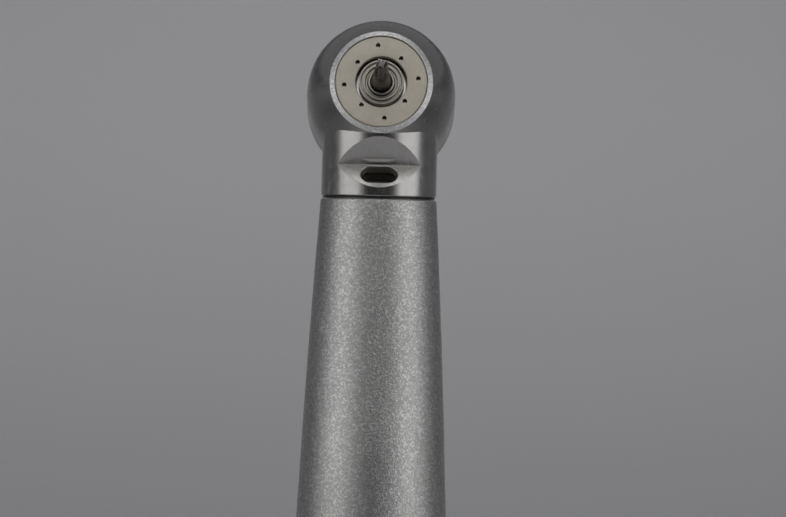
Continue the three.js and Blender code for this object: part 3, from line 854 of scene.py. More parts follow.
# ------------------------------------------------------------------ finishes
class Paint:
    """Starts a finish's node tree: frame millimetres, and calls on the shared effects."""

    def __init__(self, name: str, effects: Effects, axes: Matrix) -> None:
        """Adds a Principled shader and coordinates in a working frame.

        Args:
            name: the material's name.
            effects: the shared shader groups.
            axes: the working frame's axes, in metres.
        """
        self.material = bpy.data.materials.new(name)
        self.material.use_nodes = True
        self.web = Web(self.material.node_tree)
        self.effects = effects
        self.shader = self.material.node_tree.nodes["Principled BSDF"]
        place = self.web.add("ShaderNodeTexCoord").outputs["Object"]
        laid = {"Vector": place, "Location": axes.translation, "Rotation": axes.to_euler()}
        laid["Scale"] = (MM, MM, MM)
        self.vector = self.web.add("ShaderNodeMapping", laid, vector_type="TEXTURE").outputs[0]

    def effect(self, tree: bpy.types.NodeTree, **values: float) -> Sockets:
        """Places a shared effect.

        Args:
            tree: the effect's group.
            values: its inputs, by name.

        Returns:
            The group node's outputs.
        """
        node = self.web.add("ShaderNodeGroup", node_tree=tree)
        if "Vector" in node.inputs:
            self.web.feed(node.inputs["Vector"], self.vector)
        for name, value in values.items():
            self.web.feed(node.inputs[name.capitalize()], value)
        return node.outputs

    def spread(self, mask: Socket, values: tuple[float, float]) -> Socket:
        """Spreads a mask between two values."""
        inputs = {"Value": mask, "To Min": values[0], "To Max": values[1]}
        return self.web.add("ShaderNodeMapRange", inputs).outputs[0]

    def bumped(self, height: Socket, normal: Socket | None = None) -> None:
        """Raises the surface by a height in millimetres, over a normal that may be rounded."""
        inputs = {"Height": height, "Distance": MM, "Strength": 1.0}
        if normal is not None:
            inputs["Normal"] = normal
        self.web.feed(self.shader.inputs["Normal"], self.web.add("ShaderNodeBump", inputs).outputs[0])


MARK_DULLING = 0.08
SCRATCH_DEPTH = 0.004
SCRATCH_DULLING = 0.15


@dataclass(frozen=True)
class Metal:
    """A metal as its last operation left it: blasted, turned, plated or polished.

    Sizes are in millimetres. A grain, pitch or scratch of zero leaves that effect out.
    """

    slot: str
    colour: Colour
    shade: Colour
    # the colour of worn edges, and of the painted glints in the grain
    wear_and_glint: Colour
    # the colour of the painted shade in the grain's pits
    pit_shade: Colour = (0.2, 0.2, 0.2)
    metallic: float = 1.0
    roughness: tuple[float, float] = (0.2, 0.3)
    grain: float = 0.0
    grain_depth: float = 0.0
    # how much of the colour is taken over by the grain's painted glints and pit shade
    sparkle: float = 0.0
    pitch: float = 0.0
    mark_depth: float = 0.0
    film: float = 4.0
    scratch: float = 0.0
    edge: float = 0.06

    def dress(self, paint: Paint) -> None:
        """Fills in the material.

        Args:
            paint: the material's started node tree.
        """
        web, effects, shader = paint.web, paint.effects, paint.shader
        shader.inputs["Metallic"].default_value = self.metallic
        film = paint.effect(effects.film, size=self.film)
        colour = web.blended(film["Mask"], self.shade, self.colour)
        roughness = paint.spread(film["Streaks"], self.roughness)
        heights: list[Socket] = []
        if self.grain:
            grain = paint.effect(effects.grain, size=self.grain)
            heights.append(web.maths("MULTIPLY", grain["Height"], self.grain_depth))
            # painted glints and pit shade: random grain cells are coloured between the dark pit shade and
            # the bright glint colour, partly real grain and partly painted light
            glint_speckle = web.blended(grain["Mask"], self.pit_shade, self.wear_and_glint)
            colour = web.blended(self.sparkle, colour, glint_speckle)
        if self.pitch:
            marks = paint.effect(effects.turning, pitch=self.pitch)
            heights.append(web.maths("MULTIPLY", marks["Height"], self.mark_depth))
            dulled = web.maths("MULTIPLY", marks["Mask"], MARK_DULLING)
            roughness = web.maths("ADD", roughness, dulled)
        if self.scratch:
            lines = paint.effect(effects.scratches, width=self.scratch)
            heights.append(web.maths("MULTIPLY", lines["Mask"], -SCRATCH_DEPTH))
            dulled = web.maths("MULTIPLY", lines["Mask"], SCRATCH_DULLING)
            roughness = web.maths("ADD", roughness, dulled)
        edges = paint.effect(effects.edges, radius=self.edge * MM)
        colour = web.blended(edges["Mask"], colour, self.wear_and_glint)
        web.feed(shader.inputs["Base Color"], colour)
        web.feed(shader.inputs["Roughness"], roughness)
        if not heights:
            web.feed(shader.inputs["Normal"], edges["Normal"])
            return
        height = heights[0]
        for more in heights[1:]:
            height = web.maths("ADD", height, more)
        paint.bumped(height, edges["Normal"])


@dataclass(frozen=True)
class Moulded:
    """Rubber, plastic or ceramic with a moulded grain."""

    slot: str
    colour: Colour
    shade: Colour
    roughness: tuple[float, float] = (0.5, 0.7)
    grain: float = 0.05
    grain_depth: float = 0.004

    def dress(self, paint: Paint) -> None:
        """Fills in the material.

        Args:
            paint: the material's started node tree.
        """
        web, effects, shader = paint.web, paint.effects, paint.shader
        film = paint.effect(effects.film, size=1.5)
        grain = paint.effect(effects.grain, size=self.grain)
        web.feed(shader.inputs["Base Color"], web.blended(film["Mask"], self.shade, self.colour))
        web.feed(shader.inputs["Roughness"], paint.spread(grain["Mask"], self.roughness))
        paint.bumped(web.maths("MULTIPLY", grain["Height"], self.grain_depth))


@dataclass(frozen=True)
class FusedGlass:
    """The light guide's bundle of fused fibres: clear along it, and coloured nearly black."""

    slot: str = "glass_rod"
    colour: Colour = (0.024, 0.021, 0.018)
    shade: Colour = (0.009, 0.008, 0.007)
    roughness: tuple[float, float] = (0.05, 0.14)
    transmission: float = 0.35
    bending: float = 1.52
    fibre: float = 0.06

    def dress(self, paint: Paint) -> None:
        """Fills in the material.

        Args:
            paint: the material's started node tree.
        """
        web, effects, shader = paint.web, paint.effects, paint.shader
        shader.inputs["Metallic"].default_value = 0.0
        shader.inputs["Transmission Weight"].default_value = self.transmission
        shader.inputs["IOR"].default_value = self.bending
        fibres = paint.effect(effects.grain, size=self.fibre)
        film = paint.effect(effects.film, size=2.0)
        web.feed(shader.inputs["Base Color"], web.blended(fibres["Mask"], self.shade, self.colour))
        web.feed(shader.inputs["Roughness"], paint.spread(film["Mask"], self.roughness))


POLISHED = Metal(
    "polished_steel", (0.48, 0.47, 0.455), (0.42, 0.41, 0.395), (0.78, 0.77, 0.75),
    roughness=(0.17, 0.23), pitch=0.12, mark_depth=0.0004, film=3.0, scratch=0.002,
)
# the face's rim: its grain is real scuffing, and its near-white colour is a painted highlight that
# brightens the rim
SCUFFED_AND_LIT = Metal(
    "polished_steel", (0.98, 0.97, 0.95), (0.86, 0.85, 0.84), (1.0, 1.0, 0.99), pit_shade=(0.62, 0.61, 0.60),
    metallic=0.8, roughness=(0.30, 0.44), grain=0.12, grain_depth=0.03, sparkle=0.8, film=0.3,
)
BLASTED = Metal(
    "blasted_steel", (0.54, 0.54, 0.53), (0.49, 0.49, 0.48), (0.96, 0.96, 0.94), pit_shade=(0.32, 0.32, 0.31),
    roughness=(0.35, 0.41), grain=0.115, grain_depth=0.020, sparkle=0.48, film=6.0,
)
CHAMFERED = Metal(
    "blasted_steel", (0.80, 0.79, 0.77), (0.70, 0.69, 0.67), (0.92, 0.92, 0.90),
    roughness=(0.22, 0.32), pitch=0.08, mark_depth=0.001,
)
SATIN = Metal(
    "satin_nickel", (0.76, 0.71, 0.61), (0.69, 0.645, 0.55), (0.86, 0.82, 0.73),
    pit_shade=(0.5, 0.47, 0.4), roughness=(0.50, 0.58), grain=0.05, grain_depth=0.0016, sparkle=0.12,
    film=1.6, scratch=0.005,
)
TURNED = Metal(
    "turned_steel", (0.42, 0.395, 0.355), (0.30, 0.28, 0.25), (0.66, 0.63, 0.58),
    roughness=(0.24, 0.34), pitch=0.06, mark_depth=0.0012, film=1.2, edge=0.04,
)
# painted light: a lighter, rougher copy of polished steel for the window's inner wall, which brightens the
# shaded recess
LIT_WINDOW_WALL = Metal(
    "polished_steel", (0.60, 0.56, 0.50), (0.44, 0.41, 0.36), (0.70, 0.66, 0.60),
    roughness=(0.5, 0.6), grain=0.06, grain_depth=0.004, film=0.8, edge=0.02,
)
GROUND = Metal(
    "race_steel", (0.62, 0.61, 0.60), (0.52, 0.51, 0.50), (0.85, 0.85, 0.84),
    roughness=(0.10, 0.18), pitch=0.03, mark_depth=0.0004, film=1.5, edge=0.05,
)
LAPPED = Metal(
    "ball_steel", (0.72, 0.73, 0.75), (0.64, 0.65, 0.67), (0.85, 0.85, 0.86),
    roughness=(0.04, 0.09), film=0.5, edge=0.01,
)
SPRUNG = Metal(
    "spring_steel", (0.48, 0.47, 0.46), (0.36, 0.35, 0.33), (0.70, 0.69, 0.68),
    roughness=(0.24, 0.34), grain=0.06, grain_depth=0.001, sparkle=0.1, film=0.8, edge=0.02,
)
MILLED = Metal(
    "rotor_aluminium", (0.78, 0.79, 0.80), (0.66, 0.67, 0.68), (0.90, 0.90, 0.90),
    roughness=(0.24, 0.36), pitch=0.09, mark_depth=0.002, film=1.5, edge=0.05,
)
# its bright colour along the blade edges is partly real wear and partly a painted highlight on the edges
CARBIDE = Metal(
    "carbide", (0.17, 0.165, 0.155), (0.12, 0.115, 0.105), (0.60, 0.59, 0.56),
    roughness=(0.20, 0.28), pitch=0.05, mark_depth=0.0004, film=1.6, edge=0.05,
)
DRAWN = Metal(
    "tube_steel", (0.60, 0.59, 0.58), (0.48, 0.47, 0.46), (0.80, 0.80, 0.79),
    roughness=(0.20, 0.32), pitch=0.35, mark_depth=0.0015, film=2.5, edge=0.05,
)
BRASS = Metal(
    "brass", (0.72, 0.55, 0.27), (0.52, 0.37, 0.17), (0.88, 0.75, 0.45),
    roughness=(0.22, 0.36), pitch=0.08, mark_depth=0.002, film=1.5,
)
GILT = Metal(
    "contact_gold", (0.95, 0.72, 0.30), (0.82, 0.58, 0.22), (0.98, 0.85, 0.55),
    roughness=(0.14, 0.24), pitch=0.06, mark_depth=0.0008, film=0.8, edge=0.04,
)
ANODISED = Metal(
    "holder_aluminium", (0.42, 0.44, 0.46), (0.32, 0.34, 0.36), (0.75, 0.76, 0.77),
    roughness=(0.30, 0.42), pitch=0.10, mark_depth=0.0015, film=1.5,
)
SEAL_RUBBER = Moulded("seal_rubber", (0.018, 0.018, 0.019), (0.008, 0.008, 0.008))
CAGE_POLYMER = Moulded("cage_polymer", (0.16, 0.085, 0.035), (0.10, 0.052, 0.022), (0.42, 0.56))
LEAD_SLEEVING = Moulded("lead_insulation", (0.42, 0.05, 0.035), (0.30, 0.03, 0.02), (0.35, 0.5))
LAMP_CERAMIC = Moulded("lamp_body", (0.78, 0.76, 0.68), (0.66, 0.62, 0.52), (0.22, 0.34), 0.12, 0.002)
FIBRE_GLASS = FusedGlass()

Finish = Metal | Moulded | FusedGlass


# ------------------------------------------------------------------ the workshop
@dataclass(frozen=True)
class Accent:
    """Faces of a piece that have their own finish, by where their middles lie in its frame."""

    finish: Finish
    chosen: Callable[[Vector], bool]


class Workshop:
    """What every sub-assembly works with: the frames, the trees and the finishes."""

    def __init__(self, record: dict) -> None:
        """Sets up the layout, the Geometry Nodes trees and the shader groups.

        Args:
            record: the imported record.
        """
        self.layout = Layout(record)
        self.recipes = Recipes()
        self.effects = Effects()
        self.spine = Spine()
        self._materials: dict[tuple[Finish, Frame], bpy.types.Material] = {}

    def material(self, finish: Finish, frame: Frame) -> bpy.types.Material:
        """Gives a finish's material, whose marks follow a working frame.

        Args:
            finish: the finish.
            frame: the frame that its turning marks run about.

        Returns:
            The material, built on its first use.
        """
        if (finish, frame) not in self._materials:
            name = f"{finish.slot}_{frame.value}_{len(self._materials)}"
            paint = Paint(name, self.effects, self.layout.axes(frame))
            finish.dress(paint)
            self._materials[finish, frame] = paint.material
        return self._materials[finish, frame]

    def neck_to_head(self) -> Matrix:
        """Gives the matrix from the neck's frame to the head's."""
        turn = self.layout.axes(Frame.HEAD).inverted() @ self.layout.axes(Frame.NECK)
        return turn.to_3x3().to_4x4()

    def ringed(self, mesh: bpy.types.Mesh, finish: Finish, count: int, radius: float = ON_AXIS,
               turn: float = 0.0) -> bpy.types.Mesh:
        """Sets copies of a mesh in a circle about the bur axis.

        Args:
            mesh: what is copied.
            finish: what the copies are made of.
            count: how many there are.
            radius: the circle's radius.
            turn: how far the first copy is turned from x.

        Returns:
            The copies, as one mesh.
        """
        material = self.material(finish, Frame.HEAD)
        return self.recipes.polar.grow(mesh, material, count=count, radius=radius, turn=turn)

    def deliver(self, name: str, mesh: bpy.types.Mesh, finish: Finish, *nodes: str,
                frame: Frame = Frame.HEAD, body: Body = Body.CASE, accents: Sequence[Accent] = (),
                sharp: float = 32.0) -> None:
        """Finishes a piece and hands it to the frame.

        Args:
            name: the piece's name.
            mesh: its shape, in the working frame's millimetres.
            finish: what most of it is made of.
            nodes: the CAD nodes that it stands for.
            frame: the working frame.
            body: the body that it rides on.
            accents: faces with another finish.
            sharp: the angle, in degrees, over which an edge stays sharp.
        """
        mesh.name = name
        mesh.materials.clear()
        for kind in (finish, *(accent.finish for accent in accents)):
            mesh.materials.append(self.material(kind, frame))
        for index, accent in enumerate(accents, start=1):
            for face in mesh.polygons:
                if accent.chosen(face.center):
                    face.material_index = index
        mesh.transform(self.layout.carry(frame))
        mesh.polygons.foreach_set("use_smooth", [True] * len(mesh.polygons))
        mesh.set_sharp_from_angle(angle=math.radians(sharp))
        bench = on_bench(mesh)
        even = bench.modifiers.new("even", "WEIGHTED_NORMAL")
        even.keep_sharp = True
        piece = bpy.data.objects.new(name, settled(bench))
        bpy.context.scene.collection.objects.link(piece)
        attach(piece, body.value)
        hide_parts(*nodes)
        LOG.info("%s: %d faces, rides on %s", name, len(piece.data.polygons), body.value)


# ------------------------------------------------------------------ the head
@dataclass
class HeadShell:
    """Turbine drum and neck in one shell, with the notch and the light's window."""

    shop: Workshop
    radius: float = 5.98
    face: float = 4.2
    face_edge: float = 4.13
    rim_inner: float = 3.78
    dome_start: float = -1.93
    dome_depth: float = 8.17
    back: float = -6.05
    break_edge: float = 0.12
    recess: tuple[float, float] = (3.72, 3.35)
    nose_bore: float = 2.1
    seat: tuple[float, float] = (3.76, 2.95)
    chamber: tuple[float, float, float] = (4.95, 0.2, -2.75)
    cap_thread: float = 5.25
    neck: float = 4.62
    neck_top: float = -2.6
    neck_end: float = -8.41
    spigot: float = 3.85
    spigot_end: float = -16.0
    neck_bore: tuple[float, float] = (3.0, -6.6)
    line_bores: Sequence[tuple[float, float, float]] = ((0.55, 2.2, 0.9), (0.8, -1.9, 0.9))
    line_top: float = -3.6
    seal_span: tuple[float, float] = (-8.57, -8.44)
    crease: tuple[float, float] = (-3.16, -5.92)
    upper_flank: tuple[float, float] = (-1.46, 2.27)
    lower_flank: tuple[float, float] = (-1.46, -1.78)
    notch_reach: float = 4.2
    window_half: tuple[float, float] = (1.48, 0.83)
    window_drop: float = 1.0
    glass_depth: float = 0.85
    rod_neck: tuple[float, float] = (-1.9, -10.0)

    def build(self) -> None:
        """Makes the shell, the seal ring at its shoulder and delivers them."""
        to_head = self.shop.neck_to_head()
        body = carved(self._drum(), [moved(self._neck(), to_head)], Carving.WELD)
        tools = [self._bores(), *(moved(tool, to_head) for tool in self._neck_tools())]
        shell = carved(body, tools)
        # the rim's finish is partly real scuffing and partly a painted highlight
        rim = Accent(SCUFFED_AND_LIT, self._on_rim)
        # painted light on the window's inner wall
        wall = Accent(LIT_WINDOW_WALL, lambda at: self._in_window(to_head.inverted() @ at))
        self.shop.deliver("head_shell", shell, POLISHED, "head_housing", accents=[rim, wall])
        seal = washer(self.spigot + 0.04, self.neck - 0.12, *self.seal_span, 0.03, 128)
        self.shop.deliver("neck_seal", seal, SEAL_RUBBER, "neck_seal_ring", frame=Frame.NECK)

    def _on_rim(self, at: Vector) -> bool:
        """Tells the flat rim round the face, by a place in the head's frame."""
        return at.z > self.face - 0.3 and self.rim_inner - 0.03 < math.hypot(at.x, at.y) < self.face_edge

    def _drum(self) -> bpy.types.Mesh:
        """Turns the drum, from its parting line over the dome to the face's rim."""
        end = math.acos(self.face_edge / self.radius)
        dome = bow((0, self.dome_start), (self.radius, self.dome_depth), 0.0, end, 40)
        corners = [
            (0, self.back), (self.radius - self.break_edge, self.back),
            (self.radius, self.back + self.break_edge, 0.06), *dome[:-1], (*dome[-1], 0.05),
            (self.rim_inner, self.face, 0.03), (0, self.face),
        ]
        return lathe(corners, 256, steps=3)

    def _bores(self) -> bpy.types.Mesh:
        """Turns the tool for the face's recess, the bearing seat and the chamber."""
        plate, plate_floor = self.recess
        seat, seat_front = self.seat
        wide, front, rear = self.chamber
        above, below = self.face + 0.2, self.back - 0.2
        corners = [
            (0, above), (plate, above), (plate, plate_floor), (self.nose_bore, plate_floor),
            (self.nose_bore, seat_front), (seat, seat_front), (seat, front), (wide, front),
            (wide, rear), (self.cap_thread, rear), (self.cap_thread, below), (0, below),
        ]
        return lathe(corners, 192)

    def _neck(self) -> bpy.types.Mesh:
        """Turns the neck with its shoulder and the spigot that the grip sleeve slides on."""
        corners = [
            (0, self.spigot_end), (self.spigot, self.spigot_end, 0.25), (self.spigot, self.neck_end),
            (self.neck, self.neck_end, 0.08), (self.neck, self.neck_top), (0, self.neck_top),
        ]
        return lathe(corners, 256)

    def _neck_tools(self) -> list[bpy.types.Mesh]:
        """Makes the tools for the neck's bores, its notch and its window."""
        bore, top = self.neck_bore
        tools = [lathe(rod(bore, self.spigot_end - 1, top), 96)]
        for radius, x, y in self.line_bores:
            tools.append(shifted(lathe(rod(radius, top - 0.2, self.line_top), 24), x, y))
        crease, upper, lower = (Vector(pair) for pair in (self.crease, self.upper_flank, self.lower_flank))
        wedge = [crease, *(crease + way.normalized() * self.notch_reach for way in (upper, lower))]
        tools.append(skinned([[Vector((x, spot.x, spot.y)) for spot in wedge] for x in (-6, 6)]))
        mouth = [section(station, self._flared(depth), 64) for depth, station in self.window_stations()]
        tools.append(skinned(mouth))
        return tools

    def _in_window(self, at: Vector) -> bool:
        """Tells the window's inner wall, by a place in the neck's frame."""
        lower = Vector(self.lower_flank).normalized()
        gone = Vector((at.y, at.z)) - Vector(self.crease) - lower * self.window_drop
        depth = gone.dot(Vector((-lower.y, lower.x)))
        wide, high = self.window_half
        return 0.05 < depth < 1.6 and abs(at.x) < wide + 0.1 and abs(gone.dot(lower)) < high + 0.4

    def _flared(self, depth: float) -> tuple[float, float]:
        """Gives the window's half sizes at a depth: its mouth is lightly countersunk."""
        flare = max(0.0, 0.05 - depth) * 0.9
        return self.window_half[0] + flare, self.window_half[1] + flare

    def window_stations(self, start: float = -0.6) -> list[tuple[float, Station]]:
        """Follows the window's centre line, square to the flank and then down the neck.

        Args:
            start: the first depth, below zero outside the flank.

        Returns:
            Depths, and stations in the neck's frame.
        """
        lower = Vector(self.lower_flank).normalized()
        inward = Vector((-lower.y, lower.x))
        mouth = Vector(self.crease) + lower * self.window_drop
        depths = (self.glass_depth, self.glass_depth + 0.8)
        pulls = [
            *(mouth + inward * depth for depth in depths),
            Vector((self.rod_neck[0], -8.6)), Vector(self.rod_neck),
        ]
        stations = []
        if start < self.glass_depth:
            lead = [start, 0.0, 0.05, self.glass_depth - 0.05]
            stations = [(depth, self._station(mouth + inward * depth, inward)) for depth in lead]
        for step in range(13):
            share = step / 12
            rest = 1 - share
            weights = (rest**3, 3 * rest**2 * share, 3 * rest * share**2, share**3)
            spot = sum((pull * weight for pull, weight in zip(pulls, weights)), Vector((0, 0)))
            slopes = (rest**2, 2 * rest * share, share**2)
            legs = [after - before for before, after in zip(pulls, pulls[1:])]
            way = sum((leg * slope for leg, slope in zip(legs, slopes)), Vector((0, 0)))
            stations.append((self.glass_depth + share, self._station(spot, way.normalized())))
        return stations

    @staticmethod
    def _station(spot: Vector, way: Vector) -> Station:
        """Makes a station across a path in the neck's y and z."""
        return Station(Vector((0, spot.x, spot.y)), Vector((1, 0, 0)), Vector((0, -way.y, way.x)))


@dataclass
class SprayFace:
    """The satin plate in the drum's face, with countersunk spray holes on two circles."""

    shop: Workshop
    radius: float = 3.68
    bore: float = 2.05
    back: float = 3.42
    face: float = 4.12
    channel: tuple[float, float, float] = (2.25, 3.18, 3.74)
    hole: float = 0.19
    countersink: float = 0.06
    circles: tuple[float, float] = (2.97, 2.46)
    turn: float = math.radians(6.2)

    def build(self) -> None:
        """Turns the plate and drills it."""
        inner, outer, floor = self.channel
        back, face, hole = self.back, self.face, self.hole
        corners = [
            (self.bore, back), (inner, back), (inner, floor), (outer, floor), (outer, back),
            (self.radius, back), (self.radius, face, 0.06), (self.bore, face, 0.07),
        ]
        drill = [
            (0, floor - 0.2), (hole, floor - 0.2), (hole, face - 0.01),
            (hole + self.countersink, face + 0.1), (0, face + 0.1),
        ]
        tools = [
            self.shop.ringed(lathe(drill, 24), SATIN, 4, radius, self.turn + index * math.pi / 4)
            for index, radius in enumerate(self.circles)
        ]
        plate = lathe(corners, 192, looped=True)
        self.shop.deliver("spray_face", carved(plate, tools), SATIN, "spray_plate")


@dataclass
class BackCap:
    """The screwed cap behind the drum, with the push button, its spring and its bearing plate."""

    shop: Workshop
    radius: float = 5.98
    thread: float = 5.18
    front: float = -2.85
    parting: float = -6.08
    break_edge: float = 0.12
    dome_centre: tuple[float, float] = (3.6, -6.55)
    dome_half: tuple[float, float] = (2.38, 2.0)
    dome_back: float = 2.47
    seat: tuple[float, float] = (3.76, -7.78)
    plate: tuple[float, float, float] = (1.75, -5.9, -5.45)
    button: float = 3.25
    button_top: float = -9.1
    stem: tuple[float, float] = (0.7, -6.75)
    hollow: tuple[float, float] = (2.9, -8.2)
    flange: tuple[float, float] = (3.68, -7.1)
    spring_radius: float = 2.3
    spring_wire: float = 0.2
    spring_turns: float = 2.5
    spring_span: tuple[float, float] = (-7.95, -6.15)
    wrench_notches: int = 6
    wrench_pin: tuple[float, float] = (0.42, 0.9)
    wrench_lean: float = math.radians(30)

    def build(self) -> None:
        """Makes the cap, its inner plate, the button and the spring."""
        self._cap()
        bore, low, high = self.plate
        plate = washer(bore, self.seat[0] - 0.07, low, high, 0.08, 128)
        self.shop.deliver("cap_plate", plate, TURNED, "cap_inner_plate")
        self._button()
        low, high = self.spring_span
        coil = self.shop.recipes.wire.grow(
            bpy.data.meshes.new("start"), self.shop.material(SPRUNG, Frame.HEAD), height=high - low,
            coil_radius=self.spring_radius, wire_radius=self.spring_wire, turns=self.spring_turns,
        )
        self.shop.deliver("button_coil", shifted(coil, z=low), SPRUNG, "button_spring", sharp=60)

    def _cap(self) -> None:
        """Turns the cap and mills the small notches that a cap wrench turns it by."""
        seat, seat_back = self.seat
        opening = self.button + 0.08
        dome = bow(self.dome_centre, self.dome_half, 0.0, -math.pi / 2, 20)
        corners = [
            (seat, self.front), (self.thread, self.front, 0.1), (self.thread, self.parting),
            (self.radius - self.break_edge, self.parting, 0.03),
            (self.radius, self.parting - self.break_edge, 0.03), *dome,
            (opening, self.parting - self.dome_back, 0.1), (opening, seat_back), (seat, seat_back),
        ]
        cap = lathe(corners, 192, looped=True, steps=4)
        pin, reach = self.wrench_pin
        bit = shifted(lathe(rod(pin, -reach, reach), 32), x=0.28)
        bit = moved(bit, Matrix.Rotation(self.wrench_lean, 4, "Y"))
        bits = self.shop.ringed(bit, POLISHED, self.wrench_notches, self.radius - 0.1)
        bits = shifted(bits, z=self.parting - 1.5)
        self.shop.deliver("cap_shell", carved(cap, [bits]), POLISHED, "back_cap")

    def _button(self) -> None:
        """Turns the button, with a finger dish and a raised ring round it."""
        top, rim = self.button_top, self.button
        (stem, stem_end), (hollow, floor), (flange, skirt) = self.stem, self.hollow, self.flange
        shoulder = self.seat[1] + 0.08
        corners = [
            (0, stem_end), (stem, stem_end, 0.1), (stem, floor, 0.1), (hollow, floor, 0.15),
            (hollow, skirt), (flange, skirt, 0.04), (flange, shoulder, 0.04), (rim, shoulder),
            (rim, top + 0.2, 0.18), (rim - 0.45, top, 0.15), (rim - 0.85, top, 0.2),
            (rim - 1.15, top + 0.16, 0.3), (1.0, top + 0.28, 1.0), (0, top + 0.3),
        ]
        button = lathe(corners, 160)
        self.shop.deliver("finger_button", button, POLISHED, "push_button", body=Body.BUTTON)


# ------------------------------------------------------------------ the turbine
@dataclass
class Turbine:
    """The turbine cartridge: two bearings in rubber rings, the spindle, impeller and chuck."""

    shop: Workshop
    bearings: dict[str, float] = field(default_factory=lambda: {"front": 1.45, "rear": -4.1})
    width: float = 2.4
    ball: float = 0.5
    balls: int = 7
    ball_circle: float = 2.4
    groove: float = 0.55
    groove_lip: float = 0.3
    race_outer: float = 3.175
    race_bore: float = 1.59
    lands: tuple[float, float] = (2.1, 2.7)
    cage: tuple[float, float, float] = (2.16, 2.64, 0.75)
    pocket: float = 0.58
    ring: tuple[float, float] = (3.47, 0.25)
    wave: tuple[float, float] = (2.8, 0.05)
    wave_washer: tuple[float, float, float] = (2.5, 3.3, 0.06)
    shaft: float = 1.55
    shaft_bore: float = 1.12
    shaft_back: float = -5.75
    chuck_bore: float = 0.835
    chuck_span: tuple[float, float] = (-4.8, 4.11)
    slit: tuple[float, float, float] = (0.3, 1.5, 0.08)
    blades: int = 9
    blade_tip: float = 4.6
    blade: tuple[float, float] = (0.34, 0.42)
    hub: float = 2.5
    plunger: tuple[float, float, float] = (1.0, -6.6, -5.5)

    def build(self) -> None:
        """Makes every piece of the cartridge."""
        for side, middle in self.bearings.items():
            self._races(side, middle)
            self._cage_and_balls(side, middle)
        self._wave_washer()
        self._spindle()
        self._impeller()
        self._chuck()
        radius, back, front = self.plunger
        corners = [(0, back), (radius, back, 0.12), (radius, front, 0.2), (0, front)]
        plunger = lathe(corners, 96)
        self.shop.deliver("release_plunger", plunger, TURNED, "chuck_plunger", body=Body.PLUNGER)

    def _races(self, side: str, middle: float) -> None:
        """Makes a bearing's races, where side is front or rear and middle is its height."""
        low, high = middle - self.width / 2, middle + self.width / 2
        opening = math.acos(self.groove_lip / self.groove)
        centre, groove = (self.ball_circle, middle), (self.groove, self.groove)
        inner_land, outer_land = self.lands
        outer = [
            (outer_land, low, 0.05), (self.race_outer, low, 0.12), (self.race_outer, high, 0.12),
            (outer_land, high, 0.05), *bow(centre, groove, opening, -opening, 16),
        ]
        inner = [
            (self.race_bore, high, 0.08), (inner_land, high, 0.05),
            *bow(centre, groove, math.pi - opening, math.pi + opening, 16),
            (inner_land, low, 0.05), (self.race_bore, low, 0.08),
        ]
        for part, corners, body in (("outer", outer, Body.CASE), ("inner", inner, Body.ROTOR)):
            race = lathe(corners, looped=True)
            self.shop.deliver(f"{side}_{part}_ring", race, GROUND, f"{side}_bearing_{part}_race", body=body)

    def _cage_and_balls(self, side: str, middle: float) -> None:
        """Makes a bearing's cage and balls and the rubber ring round it."""
        body = Body.FRONT_CAGE if side == "front" else Body.REAR_CAGE
        inner, outer, half = self.cage
        pocket = moved(lathe(rod(self.pocket, 1.8, 3.0), 32), Matrix.Rotation(math.pi / 2, 4, "Y"))
        pockets = self.shop.ringed(pocket, CAGE_POLYMER, self.balls)
        cage = shifted(carved(washer(inner, outer, -half, half, 0.06, 126), [pockets]), z=middle)
        self.shop.deliver(f"{side}_ball_cage", cage, CAGE_POLYMER, f"{side}_bearing_cage", body=body)
        ball = bow((0, 0), (self.ball, self.ball), -math.pi / 2, math.pi / 2, 20)
        ball = lathe([(0, -self.ball), *ball[1:-1], (0, self.ball)], 40)
        balls = shifted(self.shop.ringed(ball, LAPPED, self.balls, self.ball_circle), z=middle)
        nodes = [f"{side}_ball_{number}" for number in range(1, self.balls + 1)]
        self.shop.deliver(f"{side}_balls", balls, LAPPED, *nodes, body=body, sharp=60)
        radius, wire = self.ring
        loop = bow((radius, middle), (wire, wire), 0.0, FULL_TURN, 24)[:-1]
        cushion = lathe(loop, looped=True)
        self.shop.deliver(f"{side}_cushion_ring", cushion, SEAL_RUBBER, f"{side}_o_ring", sharp=60)

    def _wave_washer(self) -> None:
        """Skins the thin washer whose three waves load the bearings."""
        (middle, wave), (inner, outer, thick) = self.wave, self.wave_washer
        rings = []
        for step in range(144):
            angle = FULL_TURN * step / 144
            lift = middle + wave * math.cos(3 * angle)
            out = Vector((math.cos(angle), math.sin(angle), 0))
            corners = [(inner, -0.5), (outer, -0.5), (outer, 0.5), (inner, 0.5)]
            rings.append([out * radius + Vector((0, 0, lift + side * thick)) for radius, side in corners])
        self.shop.deliver("wave_washer", skinned(rings, looped=True), SPRUNG, "preload_washer")

    def _spindle(self) -> None:
        """Turns the hollow spindle and the rounded rings of its nose."""
        floor, flange, undercut = 3.7, 1.81, 1.68
        rings = [(flange, 1.62, 3.87, 3.95), (1.48, 1.26, floor, 4.02)]
        nose = [(flange, 2.74, 0.1), (flange, 3.2), (undercut, 3.25), (undercut, 3.83)]
        for outer, inner, foot, top in rings:
            soft = (outer - inner) * 0.28
            nose += [(outer, foot), (outer, top, 0.02), (inner, top, soft), (inner, floor)]
        corners = [
            (self.shaft_bore, self.shaft_back, 0.05), (self.shaft, self.shaft_back, 0.12),
            (self.shaft, 2.72), *nose, (self.shaft_bore, floor),
        ]
        spindle = lathe(corners, 160, looped=True)
        self.shop.deliver("rotor_spindle", spindle, TURNED, "spindle", body=Body.ROTOR)

